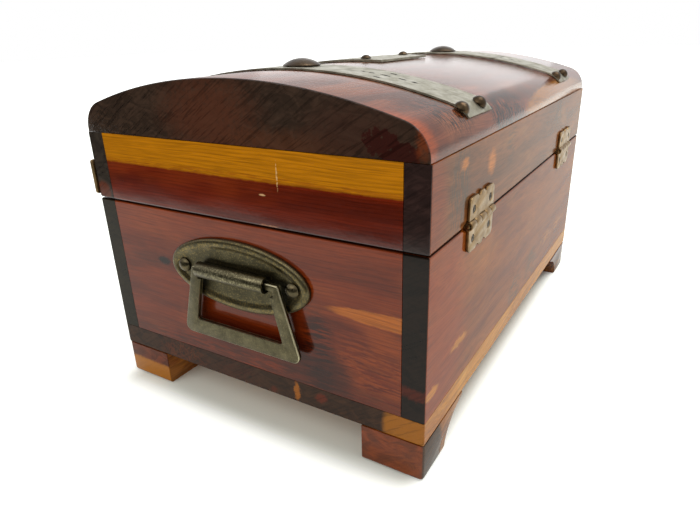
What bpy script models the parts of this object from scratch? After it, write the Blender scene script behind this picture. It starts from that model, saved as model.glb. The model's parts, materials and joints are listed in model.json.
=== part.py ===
"""A small dome-topped treasure chest of red cedar with antique metal fittings.

Chest coordinates: X runs along the length, Y from the front (hasp) to the back (hinges) and Z up
from the floor. The chest datum sets the middle of the whole object, hasp to hinge, over the origin.
Right means +X and left means -X.
"""

import math

import bmesh
import bpy
from mathutils import Vector

MM = 0.001

# Case
LENGTH = 212 * MM
DEPTH = 140 * MM
WALL = 8 * MM
WALL_HEIGHT = 56.2 * MM
BOTTOM_THICKNESS = 8.7 * MM
RAIL_HEIGHT = 25.3 * MM
EDGE_RADIUS = 0.6 * MM

# Top board: a wide arc across the middle that runs into a tight one at the front and back
TOP_INSET = 0.5 * MM
DOME_RADIUS = 207.4 * MM
SHOULDER_RADIUS = 10.8 * MM
TOP_EDGE = 0.4 * MM

# Feet, each with a cove cut under its inner side
FOOT_HEIGHT = 14.2 * MM
FOOT_LENGTH = 35 * MM
FOOT_TOE = 18.6 * MM
FOOT_TIP = 1 * MM
FOOT_DEPTH = 22.9 * MM
FOOT_ROUND = 1.4 * MM

# Gaps
GLUE_GAP = 0.2 * MM
LID_GAP = 0.4 * MM
SEAT_GAP = 0.2 * MM
RUNNING_GAP = 0.3 * MM
BORE_GAP = 0.3 * MM

# Nails: a head is a low dome with a short upright edge
NAIL_SHANK_RADIUS = 0.9 * MM
NAIL_GRIP = 5 * MM
HEAD_EDGE = 0.3 * MM
STRAP_NAIL_RADIUS = 2.5 * MM
STRAP_NAIL_RISE = 2 * MM
STUD_RADIUS = 6.9 * MM
STUD_RISE = 2.6 * MM
HASP_NAIL_RADIUS = 2.2 * MM
HASP_NAIL_RISE = 1.4 * MM
RIVET_RADIUS = 2.65 * MM
RIVET_RISE = 1.8 * MM
TACK_RADIUS = 1.15 * MM
TACK_RISE = 0.4 * MM
TACK_EDGE = 0.15 * MM
TACK_SHANK_RADIUS = 0.6 * MM
TACK_GRIP = 3.5 * MM
TACK_SINK = 0.5 * MM

# Hinges
HINGE_INSET = 41 * MM
HINGE_WIDTH = 24 * MM
LEAF_THICKNESS = 0.8 * MM
LEAF_HEIGHT = 9.2 * MM
LEAF_CORNER = 2.2 * MM
LEAF_POINT_RISE = 0.3 * MM
LEAF_NOTCH_RADIUS = 2.1 * MM
LEAF_NOTCH_X = 3.3 * MM
LEAF_NOTCH_RISE = 1.1 * MM
TACK_SIDE_INSET = 3.9 * MM
TACK_Z = 4.9 * MM
KNUCKLE_RADIUS = 1.5 * MM
PIN_RADIUS = 0.7 * MM
PIN_PROUD = 0.2 * MM
HINGE_KNUCKLES = 5
GROOVE_GAP = 0.4 * MM
GROOVE_TAPER = 6.5 * MM

# Straps over the lid
STRAP_INSET = 43 * MM
STRAP_WIDTH = 21.6 * MM
STRAP_THICKNESS = 0.6 * MM
STRAP_END_GAP = 7 * MM
STRAP_NAIL_END_INSET = 3.3 * MM
STRAP_NAIL_SIDE_INSET = 3 * MM
RIGHT_BACK_NAIL_SHIFT = 3 * MM
LEFT_BACK_NAIL_SHIFT = 2 * MM
LEFT_STUD_SHIFT = 3.3 * MM
SLOT_WIDTH = 0.9 * MM
SLOT_MIDDLE = 34.1 * MM
SLOT_MIDDLE_LENGTH = 3.9 * MM
SLOT_INNER_OFFSETS = (-5.3 * MM, -8.6 * MM)
SLOT_INNER_LENGTHS = (2 * MM, 1.2 * MM)
SLOT_OUTER_OFFSETS = (6.4 * MM, 10.9 * MM)
SLOT_OUTER_LENGTHS = (2.6 * MM, 1.4 * MM)
SLOT_SIDE_X = 6.3 * MM
SLOT_SIDE_LENGTH = 2.2 * MM

# Handles: an oval plate, a rolled eye across it and a flat bail that hangs in the eye
HANDLE_DROP = 18.8 * MM
PLATE_LENGTH = 61.8 * MM
PLATE_HEIGHT = 26 * MM
PLATE_FORWARD = 1.3 * MM
PLATE_SINK = 0.8 * MM
PLATE_RELIEF = 2.1 * MM
PLATE_EDGE = 1.3 * MM
PLATE_FLOOR = 1.4 * MM
RIM_ROUND = 0.9 * MM
RIM_CROWN = 1.7 * MM
RIM_SLOPE = 1.6 * MM
RIVET_INSET = 6.55 * MM
EYE_INSIDE = 3.9 * MM
EYE_RADIUS = 2.8 * MM
EYE_WALL = 0.8 * MM
EYE_STAND_OFF = 3.8 * MM
EYE_START = math.radians(-120)
EYE_END = math.radians(200)
BAIL_THICKNESS = 1.9 * MM
BAIL_BAR_HALF = 1.1 * MM
BAIL_RIVET_GAP = 1.3 * MM
BAIL_SPLAY = 8.1 * MM
BAIL_DROP = 26.7 * MM
BAIL_BAR_HEIGHT = 6.2 * MM
BAIL_NECK_DROP = 3.4 * MM
BAIL_NECK_PLAY = 2 * MM
BAIL_ARM_TOP = 3.4 * MM
BAIL_ARM_BOTTOM = 7.4 * MM
BAIL_CORNER = 2.9 * MM
BAIL_SMALL_CORNER = 0.6 * MM
BAIL_EDGE = 0.35 * MM

# Hasp: a plate over the crest and the front shoulder, a swinging tongue and a keeper below it
HASP_BACK = 11.2 * MM
HASP_WIDTH = 44.8 * MM
HASP_TONGUE_WIDTH = 26 * MM
HASP_THICKNESS = 0.9 * MM
HASP_TAPER_START = 26 * MM
HASP_TAPER_LENGTH = 34 * MM
HASP_NAIL_INSET = 4.4 * MM
HASP_NAIL_BACK_INSET = 9.8 * MM
HASP_LOW_NAIL_INSET = 4.5 * MM
HASP_LOW_NAIL_UP = 13 * MM
HASP_AXIS_RISE = 1 * MM
TONGUE_THICKNESS = 1 * MM
TONGUE_TIP_WIDTH = 16 * MM
TONGUE_TAPER = 22 * MM
TAB_WIDTH = 13 * MM
TAB_REACH = 8.3 * MM
TAB_GAP = 0.4 * MM
TAB_ROOT = 0.1 * MM
TAB_DROP = 9.5 * MM
EYE_SLOT_LENGTH = 7 * MM
EYE_SLOT_WIDTH = 4.4 * MM
EYE_SLOT_INSET = 2.3 * MM
KEEPER_THICKNESS = 0.8 * MM
KEEPER_WIDTH = 26 * MM
KEEPER_HEIGHT = 18 * MM
KEEPER_CORNER = 2.5 * MM
KEEPER_NAIL_INSET = 4.6 * MM
KEEPER_NAIL_RISE = 6 * MM

# Plates on the lid's front lower corners
CORNER_WIDTH = 13 * MM
CORNER_HEIGHT = 13.3 * MM
CORNER_ARM = 3.6 * MM
CORNER_WAIST = 4.6 * MM
CORNER_LOBE = 8 * MM
CORNER_ROUND = 0.9 * MM
CORNER_THICKNESS = 1.3 * MM
CORNER_OVERHANG = 0.7 * MM
CORNER_RISE = 1.2 * MM

# Fineness of the curved faces
DOME_STEPS = 9
SHOULDER_STEPS = 8
EASE_STEPS = 2
NAIL_SIDES = 14
STUD_SIDES = 28
BORE_SIDES = 10
KNUCKLE_SIDES = 16
OVAL_SIDES = 48
CORNER_STEPS = 4
COVE_STEPS = 9
EYE_STEPS = 16
HEAD_STEPS = 3
STUD_STEPS = 5
MERGE_DISTANCE = 0.001 * MM

# Heights of the levels, from the floor up
BOTTOM_Z = FOOT_HEIGHT + GLUE_GAP
FLOOR_Z = BOTTOM_Z + BOTTOM_THICKNESS
WALL_Z = FLOOR_Z + GLUE_GAP
WALL_TOP_Z = WALL_Z + WALL_HEIGHT
SEAM_Z = WALL_TOP_Z + LID_GAP / 2
RAIL_Z = WALL_TOP_Z + LID_GAP
TOP_Z = RAIL_Z + RAIL_HEIGHT + GLUE_GAP

# Path of the lid's outer surface, from the crest down to the edge of the top board
TOP_HALF_DEPTH = DEPTH / 2 - TOP_INSET
SHOULDER_Y = TOP_HALF_DEPTH - SHOULDER_RADIUS
SHOULDER_Z = TOP_Z + TOP_EDGE
DOME_TILT = math.asin(SHOULDER_Y / (DOME_RADIUS - SHOULDER_RADIUS))
DOME_Z = SHOULDER_Z - (DOME_RADIUS - SHOULDER_RADIUS) * math.cos(DOME_TILT)
DOME_ARC = DOME_RADIUS * DOME_TILT
PATH_LENGTH = DOME_ARC + SHOULDER_RADIUS * (math.pi / 2 - DOME_TILT)

# Joint axes
HINGE_Y = DEPTH / 2 + SEAT_GAP + LEAF_THICKNESS / 2
HINGE_X = LENGTH / 2 - HINGE_INSET
HANDLE_Z = WALL_TOP_Z - HANDLE_DROP
PLATE_Y = -PLATE_FORWARD
PLATE_Z = HANDLE_Z - PLATE_SINK
HASP_Y = -(DEPTH / 2 + SEAT_GAP + KNUCKLE_RADIUS)
HASP_Z = TOP_Z + HASP_AXIS_RISE
BORE_RADIUS = PIN_RADIUS + BORE_GAP

# Places that more than one piece takes
STRAP_X = LENGTH / 2 - STRAP_INSET
STRAP_END = PATH_LENGTH - STRAP_END_GAP
STRAP_OUTSIDE = SEAT_GAP + STRAP_THICKNESS
HASP_OUTSIDE = SEAT_GAP + HASP_THICKNESS
KEEPER_OUTSIDE = SEAT_GAP + KEEPER_THICKNESS
KEEPER_TOP_Z = WALL_TOP_Z - TAB_DROP
TAB_TIP_Y = HASP_Y - TAB_REACH
RIVET_Y = PLATE_LENGTH / 2 - RIVET_INSET
BAIL_TOP_WIDTH = 2 * (RIVET_Y - PLATE_FORWARD - RIVET_RADIUS - BAIL_RIVET_GAP)
BAIL_BOTTOM_WIDTH = BAIL_TOP_WIDTH + 2 * BAIL_SPLAY
BAIL_WINDOW_TOP_WIDTH = BAIL_TOP_WIDTH - 2 * BAIL_ARM_TOP
BAIL_WINDOW_BOTTOM_WIDTH = BAIL_BOTTOM_WIDTH - 2 * BAIL_ARM_BOTTOM
EYE_LENGTH = BAIL_TOP_WIDTH - 2 * EYE_INSIDE
GROOVE_RADIUS = KNUCKLE_RADIUS + GROOVE_GAP
CENTRE_Y = (abs(TAB_TIP_Y) - (HINGE_Y + KNUCKLE_RADIUS)) / 2

# Finishes: colour from 0 to 255, metallic and roughness
RED_CEDAR = ((122, 62, 44), 0.0, 0.32)
DARK_CEDAR = ((84, 40, 30), 0.0, 0.3)
GOLD_CEDAR = ((196, 136, 62), 0.0, 0.35)
PALE_BRASS = ((176, 152, 104), 1.0, 0.42)
OLIVE_BRONZE = ((104, 96, 74), 1.0, 0.45)
DARK_BRONZE = ((74, 60, 44), 1.0, 0.4)
GREY_STEEL = ((150, 152, 138), 1.0, 0.5)

# For each direction, the two axes that an outline is drawn on and the one it is carried along
X_AXIS = Vector((1, 0, 0))
Y_AXIS = Vector((0, 1, 0))
Z_AXIS = Vector((0, 0, 1))
DRAWING_AXES = {"x": (Y_AXIS, Z_AXIS, X_AXIS), "y": (X_AXIS, Z_AXIS, Y_AXIS), "z": (X_AXIS, Y_AXIS, Z_AXIS)}

SIDES = (("right", 1), ("left", -1))
ENDS = (("back", 1), ("front", -1))


def clear_scene():
    """Remove what the scene already holds."""
    for old in list(bpy.data.objects):
        bpy.data.objects.remove(old, do_unlink=True)


def linear(level):
    """Turn a colour level from 0 to 255 into the linear value that a shader takes."""
    share = level / 255
    return share / 12.92 if share <= 0.04045 else ((share + 0.055) / 1.055) ** 2.4


def coat(piece, finish):
    """Give a piece its own plain material."""
    colour, metallic, roughness = finish
    material = bpy.data.materials.new(f"{piece.name}_finish")
    material.use_nodes = True
    shader = material.node_tree.nodes["Principled BSDF"]
    shader.inputs["Base Color"].default_value = (*(linear(level) for level in colour), 1)
    shader.inputs["Metallic"].default_value = metallic
    shader.inputs["Roughness"].default_value = roughness
    piece.data.materials.append(material)


def new_carrier(name, parent, spot):
    """An empty that carries pieces; it remembers its own place in chest coordinates."""
    carrier = bpy.data.objects.new(name, None)
    bpy.context.collection.objects.link(carrier)
    carrier["spot"] = tuple(spot)
    if parent:
        hang(carrier, parent, spot)
    return carrier


def hang(item, carrier, spot, turn=(0, 0, 0)):
    """Parent an item to a carrier, its origin at a spot in chest coordinates."""
    item.parent = carrier
    item.location = Vector(spot) - Vector(carrier["spot"])
    item.rotation_euler = turn


def new_mesh(name, bm):
    """Close a bmesh into a mesh whose faces point outwards and whose round faces look round."""
    bmesh.ops.recalc_face_normals(bm, faces=bm.faces)
    mesh = bpy.data.meshes.new(name)
    bm.to_mesh(mesh)
    bm.free()
    mesh.shade_smooth()
    mesh.set_sharp_from_angle(angle=math.radians(35))
    return mesh


def new_object(name, bm, carrier, spot, turn):
    """An object of a bmesh, hung on its carrier."""
    item = bpy.data.objects.new(name, new_mesh(name, bm))
    bpy.context.collection.objects.link(item)
    hang(item, carrier, spot, turn)
    return item


def new_piece(name, bm, finish, carrier, spot, turn=(0, 0, 0)):
    """One solid piece of the chest."""
    piece = new_object(name, bm, carrier, spot, turn)
    coat(piece, finish)
    return piece


def new_tool(name, bm, carrier, spot, turn=(0, 0, 0)):
    """A shape that only cuts or adds to pieces, and is no piece itself."""
    tool = new_object(name, bm, carrier, spot, turn)
    tool.hide_render = True
    tool.display_type = "WIRE"
    return tool


def work(piece, tool, operation):
    """Cut a tool's shape from a piece, or add it to the piece."""
    change = piece.modifiers.new(tool.name, "BOOLEAN")
    change.operation = operation
    change.object = tool
    change.solver = "EXACT"


def cut(piece, tool):
    """Cut a tool's shape from a piece."""
    work(piece, tool, "DIFFERENCE")


def add(piece, tool):
    """Add a tool's shape to a piece."""
    work(piece, tool, "UNION")


def arc(centre, radius, start, end, steps):
    """Points of an arc in a drawing, from one angle to another."""
    angles = [start + (end - start) * step / steps for step in range(steps + 1)]
    return [(centre[0] + radius * math.cos(a), centre[1] + radius * math.sin(a)) for a in angles]


def fillet(before, corner, after, radius):
    """The arc that rounds one corner of a drawing."""
    corner = Vector(corner)
    back = (Vector(before) - corner).normalized()
    ahead = (Vector(after) - corner).normalized()
    half = back.angle(ahead) / 2
    centre = corner + (back + ahead).normalized() * radius / math.sin(half)
    first = corner + back * radius / math.tan(half) - centre
    last = corner + ahead * radius / math.tan(half) - centre
    start = math.atan2(first.y, first.x)
    swing = math.remainder(math.atan2(last.y, last.x) - start, math.tau)
    return arc(centre, radius, start, start + swing, CORNER_STEPS)


def rounded(corners):
    """A closed drawing through corners (u, v, radius), each rounded to its radius."""
    spots = [(u, v) for u, v, radius in corners]
    outline = []
    for index, (u, v, radius) in enumerate(corners):
        if radius:
            outline += fillet(spots[index - 1], spots[index], spots[(index + 1) % len(spots)], radius)
        else:
            outline.append((u, v))
    return outline


def mirrored(half):
    """A closed drawing from its right half, whose points run from the bottom to the top."""
    return half + [(-u, v) for u, v in reversed(half) if u > MERGE_DISTANCE]


def stadium(length, width, middle=(0, 0)):
    """A slot drawn along u with round ends."""
    radius = width / 2
    reach = length / 2 - radius
    quarter = math.pi / 2
    right = arc((middle[0] + reach, middle[1]), radius, -quarter, quarter, CORNER_STEPS)
    left = arc((middle[0] - reach, middle[1]), radius, quarter, 3 * quarter, CORNER_STEPS)
    return right + left


def rim_edges(bm, along):
    """The edges round the two flat ends of a prism."""
    rims = []
    for edge in bm.edges:
        run = edge.verts[1].co - edge.verts[0].co
        flat = abs(run.dot(along)) < MERGE_DISTANCE
        if flat and edge.calc_face_angle(0) > math.radians(45):
            rims.append(edge)
    return rims


def ease(bm, edges, radius, steps=EASE_STEPS):
    """Round some edges."""
    bmesh.ops.bevel(bm, geom=edges, offset=radius, segments=steps, profile=0.5, affect="EDGES")


def prism(outlines, axis, start, end, edge=0):
    """A drawing, with any holes, carried along an axis, its rims eased by an edge radius."""
    across, up, along = DRAWING_AXES[axis]
    bm = bmesh.new()
    sides = []
    for outline in outlines:
        ring = [bm.verts.new(u * across + v * up + start * along) for u, v in outline]
        sides += [bm.edges.new(pair) for pair in zip(ring, ring[1:] + ring[:1])]
    if len(outlines) == 1:
        bm.faces.new(ring)
    else:
        bmesh.ops.triangle_fill(bm, use_beauty=True, edges=sides)
    grown = bmesh.ops.extrude_face_region(bm, geom=bm.faces[:])["geom"]
    ends = [item for item in grown if isinstance(item, bmesh.types.BMVert)]
    bmesh.ops.translate(bm, verts=ends, vec=(end - start) * along)
    bmesh.ops.recalc_face_normals(bm, faces=bm.faces)
    if edge:
        ease(bm, rim_edges(bm, along), edge)
    return bm


def turned(profile, sides, axis=Z_AXIS):
    """A profile of (radius, place along the axis) points, spun round the axis."""
    bm = bmesh.new()
    away = X_AXIS if axis == Z_AXIS else Z_AXIS
    points = [bm.verts.new(radius * away + along * axis) for radius, along in profile]
    lines = [bm.edges.new(pair) for pair in zip(points, points[1:])]
    bmesh.ops.spin(bm, geom=points + lines, axis=axis, cent=(0, 0, 0), angle=math.tau, steps=sides,
                   use_merge=True)
    bmesh.ops.remove_doubles(bm, verts=bm.verts, dist=MERGE_DISTANCE)
    return bm


def merged(parts):
    """One bmesh of several separate ones, each moved to its own place."""
    whole = bmesh.new()
    for bm, place in parts:
        mesh = bpy.data.meshes.new("part")
        bm.to_mesh(mesh)
        bm.free()
        mesh.transform(place)
        whole.from_mesh(mesh)
        bpy.data.meshes.remove(mesh)
    return whole


def turn_to(outward):
    """The shortest turn that points +Z outward."""
    return Z_AXIS.rotation_difference(outward)


def facing(spot, outward):
    """The place of a thing whose +Z points outward from a spot."""
    place = turn_to(outward).to_matrix().to_4x4()
    place.translation = spot
    return place


def skin(bm, rings):
    """Join closed rings of points in turn and close both ends."""
    for ring, following in zip(rings, rings[1:]):
        for index, point in enumerate(ring):
            after = (index + 1) % len(ring)
            bm.faces.new((point, ring[after], following[after], following[index]))
    bm.faces.new(rings[0])
    bm.faces.new(rings[-1])
    return bm


def lid_spot(path, lift=0.0, x=0.0):
    """A point over the lid and the outward direction there.

    The path is the length along the lid's surface from the crest, positive towards the back, and
    the lift is the height over the surface.
    """
    reach = abs(path)
    side = math.copysign(1, path)
    if reach <= DOME_ARC:
        tilt = reach / DOME_RADIUS
        radius = DOME_RADIUS + lift
        centre = (0.0, DOME_Z)
    else:
        tilt = DOME_TILT + (reach - DOME_ARC) / SHOULDER_RADIUS
        radius = SHOULDER_RADIUS + lift
        centre = (SHOULDER_Y, SHOULDER_Z)
    outward = Vector((0, side * math.sin(tilt), math.cos(tilt)))
    y = side * centre[0] + radius * outward.y
    return Vector((x, y, centre[1] + radius * outward.z)), outward


def lid_stations(start, end):
    """Path lengths from the front to the back, close together on the shoulders."""
    arcs = [DOME_ARC * step / DOME_STEPS for step in range(DOME_STEPS + 1)]
    shoulder = PATH_LENGTH - DOME_ARC
    arcs += [DOME_ARC + shoulder * step / SHOULDER_STEPS for step in range(1, SHOULDER_STEPS + 1)]
    both = sorted({-path for path in arcs} | set(arcs))
    inside = [path for path in both if start + MERGE_DISTANCE < path < end - MERGE_DISTANCE]
    return [start] + inside + [end]


def lid_strip(start, end, thickness, half_width):
    """A metal strip that lies over the lid, its half width given for each path length."""
    bm = bmesh.new()
    rings = []
    for path in lid_stations(start, end):
        half = half_width(path)
        low, high = SEAT_GAP, SEAT_GAP + thickness
        corners = ((-half, low), (half, low), (half, high), (-half, high))
        rings.append([bm.verts.new(lid_spot(path, lift, x)[0]) for x, lift in corners])
    return skin(bm, rings)


def board(size, eased):
    """A board; each eased edge is named by the signs of its middle, as (0, -1, 1)."""
    bm = bmesh.new()
    bmesh.ops.create_cube(bm, size=1)
    bmesh.ops.scale(bm, vec=size, verts=bm.verts)
    half = [length / 2 for length in size]
    chosen = []
    for edge in bm.edges:
        middle = (edge.verts[0].co + edge.verts[1].co) / 2
        if tuple(round(place / reach) for place, reach in zip(middle, half)) in eased:
            chosen.append(edge)
    ease(bm, chosen, EDGE_RADIUS)
    return bm


def box_boards(height, base, carrier, name, free):
    """The four boards round the body or the lid: front and back ones, and end ones between them.

    The name is a pattern such as lid_{}_rail, and free is 1 where the top edges are free and -1
    where the bottom ones are.
    """
    middle = base + height / 2
    boards = {}
    for end, way in ENDS:
        eased = {(-1, way, 0), (1, way, 0), (0, way, free), (-1, 0, free), (1, 0, free)}
        bm = board((LENGTH, WALL, height), eased)
        spot = (0, way * (DEPTH - WALL) / 2, middle)
        boards[end] = new_piece(name.format(end), bm, RED_CEDAR, carrier, spot)
    for side, way in SIDES:
        size = (WALL, DEPTH - 2 * WALL - 2 * GLUE_GAP, height)
        spot = (way * (LENGTH - WALL) / 2, 0, middle)
        bm = board(size, {(way, 0, free)})
        end_name = name.format("end") + "_" + side
        boards[side] = new_piece(end_name, bm, RED_CEDAR, carrier, spot)
    return boards


def make_bottom(datum):
    """The bottom board, as long and deep as the case."""
    eased = {(x, y, 0) for x in (-1, 1) for y in (-1, 1)}
    eased |= {(0, -1, -1), (0, 1, -1), (-1, 0, -1), (1, 0, -1)}
    bm = board((LENGTH, DEPTH, BOTTOM_THICKNESS), eased)
    new_piece("bottom_board", bm, GOLD_CEDAR, datum, (0, 0, BOTTOM_Z + BOTTOM_THICKNESS / 2))


def cove():
    """The underside of a foot: part of an ellipse from the toe up to the thin inner tip."""
    end = math.asin(1 - FOOT_TIP / FOOT_HEIGHT)
    reach = (FOOT_LENGTH - FOOT_TOE) / (1 - math.cos(end))
    angles = [end * step / COVE_STEPS for step in range(COVE_STEPS + 1)]
    return [(FOOT_TOE + reach * (1 - math.cos(a)), FOOT_HEIGHT * math.sin(a)) for a in angles]


def make_foot(datum, end, way_y, side, way_x):
    """A foot under one corner; x runs inwards from its outer side in its drawing."""
    drawing = [(0, 0)] + cove() + [(FOOT_LENGTH, FOOT_HEIGHT), (0, FOOT_HEIGHT)]
    drawing = [(-way_x * u, v) for u, v in drawing]
    inner_y = -way_y * FOOT_DEPTH
    bm = prism([drawing], "y", min(0, inner_y), max(0, inner_y))
    outer = []
    for edge in bm.edges:
        spots = [vert.co for vert in edge.verts]
        on_side = all(abs(spot.x) < MERGE_DISTANCE for spot in spots)
        on_end = all(abs(spot.y) < MERGE_DISTANCE for spot in spots)
        on_floor = all(spot.z < MERGE_DISTANCE for spot in spots)
        if (on_side and on_end) or (on_floor and (on_side or on_end)):
            outer.append(edge)
    ease(bm, outer, FOOT_ROUND)
    spot = (way_x * LENGTH / 2, way_y * DEPTH / 2, 0)
    new_piece(f"foot_{end}_{side}", bm, RED_CEDAR, datum, spot)


def make_top_board(lid):
    """The solid top board, arched on its outside and flat below."""
    path = [lid_spot(length)[0] for length in lid_stations(-PATH_LENGTH, PATH_LENGTH)]
    drawing = [(spot.y, spot.z - TOP_Z) for spot in path]
    drawing = [(-TOP_HALF_DEPTH, 0)] + drawing + [(TOP_HALF_DEPTH, 0)]
    bm = prism([drawing], "x", -LENGTH / 2, LENGTH / 2, EDGE_RADIUS / 2)
    return new_piece("lid_top_board", bm, DARK_CEDAR, lid, (0, 0, TOP_Z))


def head_profile(radius, rise, edge, steps):
    """The outline of a nail's head, from the edge of its underside up to its top."""
    dome = rise - edge
    ball = (radius ** 2 + dome ** 2) / (2 * dome)
    spread = math.asin(radius / ball)
    tilts = [spread * (steps - step) / steps for step in range(steps + 1)]
    return [(radius, 0)] + [(ball * math.sin(t), rise - ball + ball * math.cos(t)) for t in tilts]


def nail(radius, rise, shank_length, shank=NAIL_SHANK_RADIUS, edge=HEAD_EDGE, sides=NAIL_SIDES,
         steps=HEAD_STEPS):
    """A nail whose origin is the middle of its head's underside, its head towards +Z."""
    profile = [(0, -shank_length), (shank, -shank_length), (shank, 0)]
    return turned(profile + head_profile(radius, rise, edge, steps), sides)


def bore(length, mouth, radius=NAIL_SHANK_RADIUS + BORE_GAP, wide=0.0):
    """A drill that ends a gap below a nail's shank; it may widen over the seat for the head."""
    low = -length - BORE_GAP
    profile = [(0, low), (radius, low), (radius, mouth), (0, mouth)]
    if wide:
        profile = [(0, low), (radius, low), (radius, -SEAT_GAP), (wide, -SEAT_GAP), (wide, mouth),
                   (0, mouth)]
    return turned(profile, BORE_SIDES if not wide else NAIL_SIDES)


def drive(names, places, make, finish, carrier):
    """Put a nail at each place."""
    for name, (spot, outward) in zip(names, places):
        new_piece(name, make(), finish, carrier, spot, turn_to(outward).to_euler())


def drill(name, places, make, carrier, pieces):
    """Drill the same holes through several pieces."""
    origin = tuple(carrier["spot"])
    bm = merged([(make(), facing(Vector(spot) - Vector(origin), outward)) for spot, outward in places])
    tool = new_tool(name, bm, carrier, origin)
    for piece in pieces:
        cut(piece, tool)


def leaf_drawing():
    """One hinge leaf above its axis: round corners, two notches and a small point on its edge."""
    half = HINGE_WIDTH / 2
    root = (BORE_RADIUS + KNUCKLE_RADIUS) / 2
    corner = (half - LEAF_CORNER, LEAF_HEIGHT - LEAF_CORNER)
    spread = math.acos(LEAF_NOTCH_RISE / LEAF_NOTCH_RADIUS)
    notch = (LEAF_NOTCH_X, LEAF_HEIGHT + LEAF_NOTCH_RISE)
    down = -math.pi / 2
    drawing = [(half, root)]
    drawing += arc(corner, LEAF_CORNER, 0, math.pi / 2, CORNER_STEPS)
    drawing += arc(notch, LEAF_NOTCH_RADIUS, down + spread, down - spread, CORNER_STEPS)
    return mirrored(drawing + [(0, LEAF_HEIGHT + LEAF_POINT_RISE)])


def knuckle_spans(width, count, gap):
    """The runs of a barrel's knuckles along X, a running gap between neighbours."""
    pitch = (width + gap) / count
    starts = [-width / 2 + pitch * index for index in range(count)]
    return [(start, start + pitch - gap) for start in starts]


def knuckles(spans):
    """The plain rods that become knuckles when their barrel is bored."""
    rods = []
    for start, end in spans:
        profile = [(0, start), (KNUCKLE_RADIUS, start), (KNUCKLE_RADIUS, end), (0, end)]
        rods.append((turned(profile, KNUCKLE_SIDES, X_AXIS), facing((0, 0, 0), Z_AXIS)))
    return merged(rods)


def barrel_cutter(spans, own):
    """A stepped rod that bores the leaf's own knuckles and clears room for the other leaf's."""
    clear = KNUCKLE_RADIUS + RUNNING_GAP
    past = spans[0][0] - KNUCKLE_RADIUS
    profile = [(0, past)]
    for index, (start, end) in enumerate(spans):
        radius = BORE_RADIUS if own(index) else clear
        before = past if index == 0 else start - (0 if own(index) else RUNNING_GAP)
        after = -past if index == len(spans) - 1 else end + (0 if own(index) else RUNNING_GAP)
        profile += [(radius, before), (radius, after)]
    return turned(profile + [(0, -past)], KNUCKLE_SIDES, X_AXIS)


def make_barrel(leaf, spans, own, carrier, spot):
    """Give a leaf its own knuckles, bored, with room for the other leaf's."""
    mine = [span for index, span in enumerate(spans) if own(index)]
    add(leaf, new_tool(leaf.name + "_knuckles", knuckles(mine), carrier, spot))
    cut(leaf, new_tool(leaf.name + "_barrel_cutter", barrel_cutter(spans, own), carrier, spot))


def make_pin(name, width, finish, carrier, spot):
    """The pin of a barrel, a little longer than its knuckles."""
    reach = width / 2 + PIN_PROUD
    profile = [(0, -reach), (PIN_RADIUS, -reach), (PIN_RADIUS, reach), (0, reach)]
    new_piece(name, turned(profile, BORE_SIDES, X_AXIS), finish, carrier, spot)


def tack():
    """A small nail whose head lies sunk in a hinge leaf."""
    return nail(TACK_RADIUS, TACK_RISE, TACK_GRIP, TACK_SHANK_RADIUS, TACK_EDGE, BORE_SIDES, 2)


def tack_bore():
    """The hole of a tack, wider where its head is sunk into the leaf."""
    return bore(TACK_GRIP, TACK_SINK + KNUCKLE_RADIUS, TACK_SHANK_RADIUS + BORE_GAP, TACK_RADIUS + BORE_GAP)


def make_leaf(name, way, carrier, spot, boards):
    """One hinge leaf, above (1) or below (-1) its axis, with its tacks in the board behind it."""
    drawing = [(u, way * v) for u, v in leaf_drawing()]
    bm = prism([drawing], "y", -LEAF_THICKNESS / 2, LEAF_THICKNESS / 2)
    leaf = new_piece(name, bm, PALE_BRASS, carrier, spot)
    seat_y = spot[1] + LEAF_THICKNESS / 2 - TACK_SINK + SEAT_GAP
    reach = HINGE_WIDTH / 2 - TACK_SIDE_INSET
    places = [((spot[0] + x, seat_y, spot[2] + way * TACK_Z), Y_AXIS) for x in (reach, -reach)]
    part = name.replace("_leaf", "")
    drive([f"{part}_nail_{index}" for index in (1, 2)], places, tack, DARK_BRONZE, carrier)
    drill(name + "_bores", places, tack_bore, carrier, [leaf] + boards)
    return leaf


def make_hinge(datum, lid, side, way_x, body_board, lid_rail):
    """A hinge of two leaves and a pin, its barrel in a groove along the seam."""
    spot = (way_x * HINGE_X, HINGE_Y, SEAM_Z)
    spans = knuckle_spans(HINGE_WIDTH, HINGE_KNUCKLES, RUNNING_GAP)
    lid_leaf = make_leaf(f"hinge_{side}_lid_leaf", 1, lid, spot, [lid_rail])
    body_leaf = make_leaf(f"hinge_{side}_body_leaf", -1, datum, spot, [body_board])
    make_barrel(lid_leaf, spans, lambda index: index % 2 == 1, lid, spot)
    make_barrel(body_leaf, spans, lambda index: index % 2 == 0, datum, spot)
    make_pin(f"hinge_{side}_pin", HINGE_WIDTH, PALE_BRASS, datum, spot)
    straight = HINGE_WIDTH / 2 + PIN_PROUD + RUNNING_GAP
    tip = straight + GROOVE_TAPER
    profile = [(0, -tip), (GROOVE_RADIUS, -straight), (GROOVE_RADIUS, straight), (0, tip)]
    groove = new_tool(f"hinge_{side}_groove", turned(profile, KNUCKLE_SIDES, X_AXIS), datum, spot)
    cut(body_board, groove)
    cut(lid_rail, groove)


def strap_slots():
    """The middles and lengths of a strap's slots as (path, x, length), on its back half."""
    offsets = (0,) + SLOT_INNER_OFFSETS + SLOT_OUTER_OFFSETS
    lengths = (SLOT_MIDDLE_LENGTH,) + SLOT_INNER_LENGTHS + SLOT_OUTER_LENGTHS
    row = [(SLOT_MIDDLE + offset, 0, length) for offset, length in zip(offsets, lengths)]
    return row + [(SLOT_MIDDLE, x, SLOT_SIDE_LENGTH) for x in (-SLOT_SIDE_X, SLOT_SIDE_X)]


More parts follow.
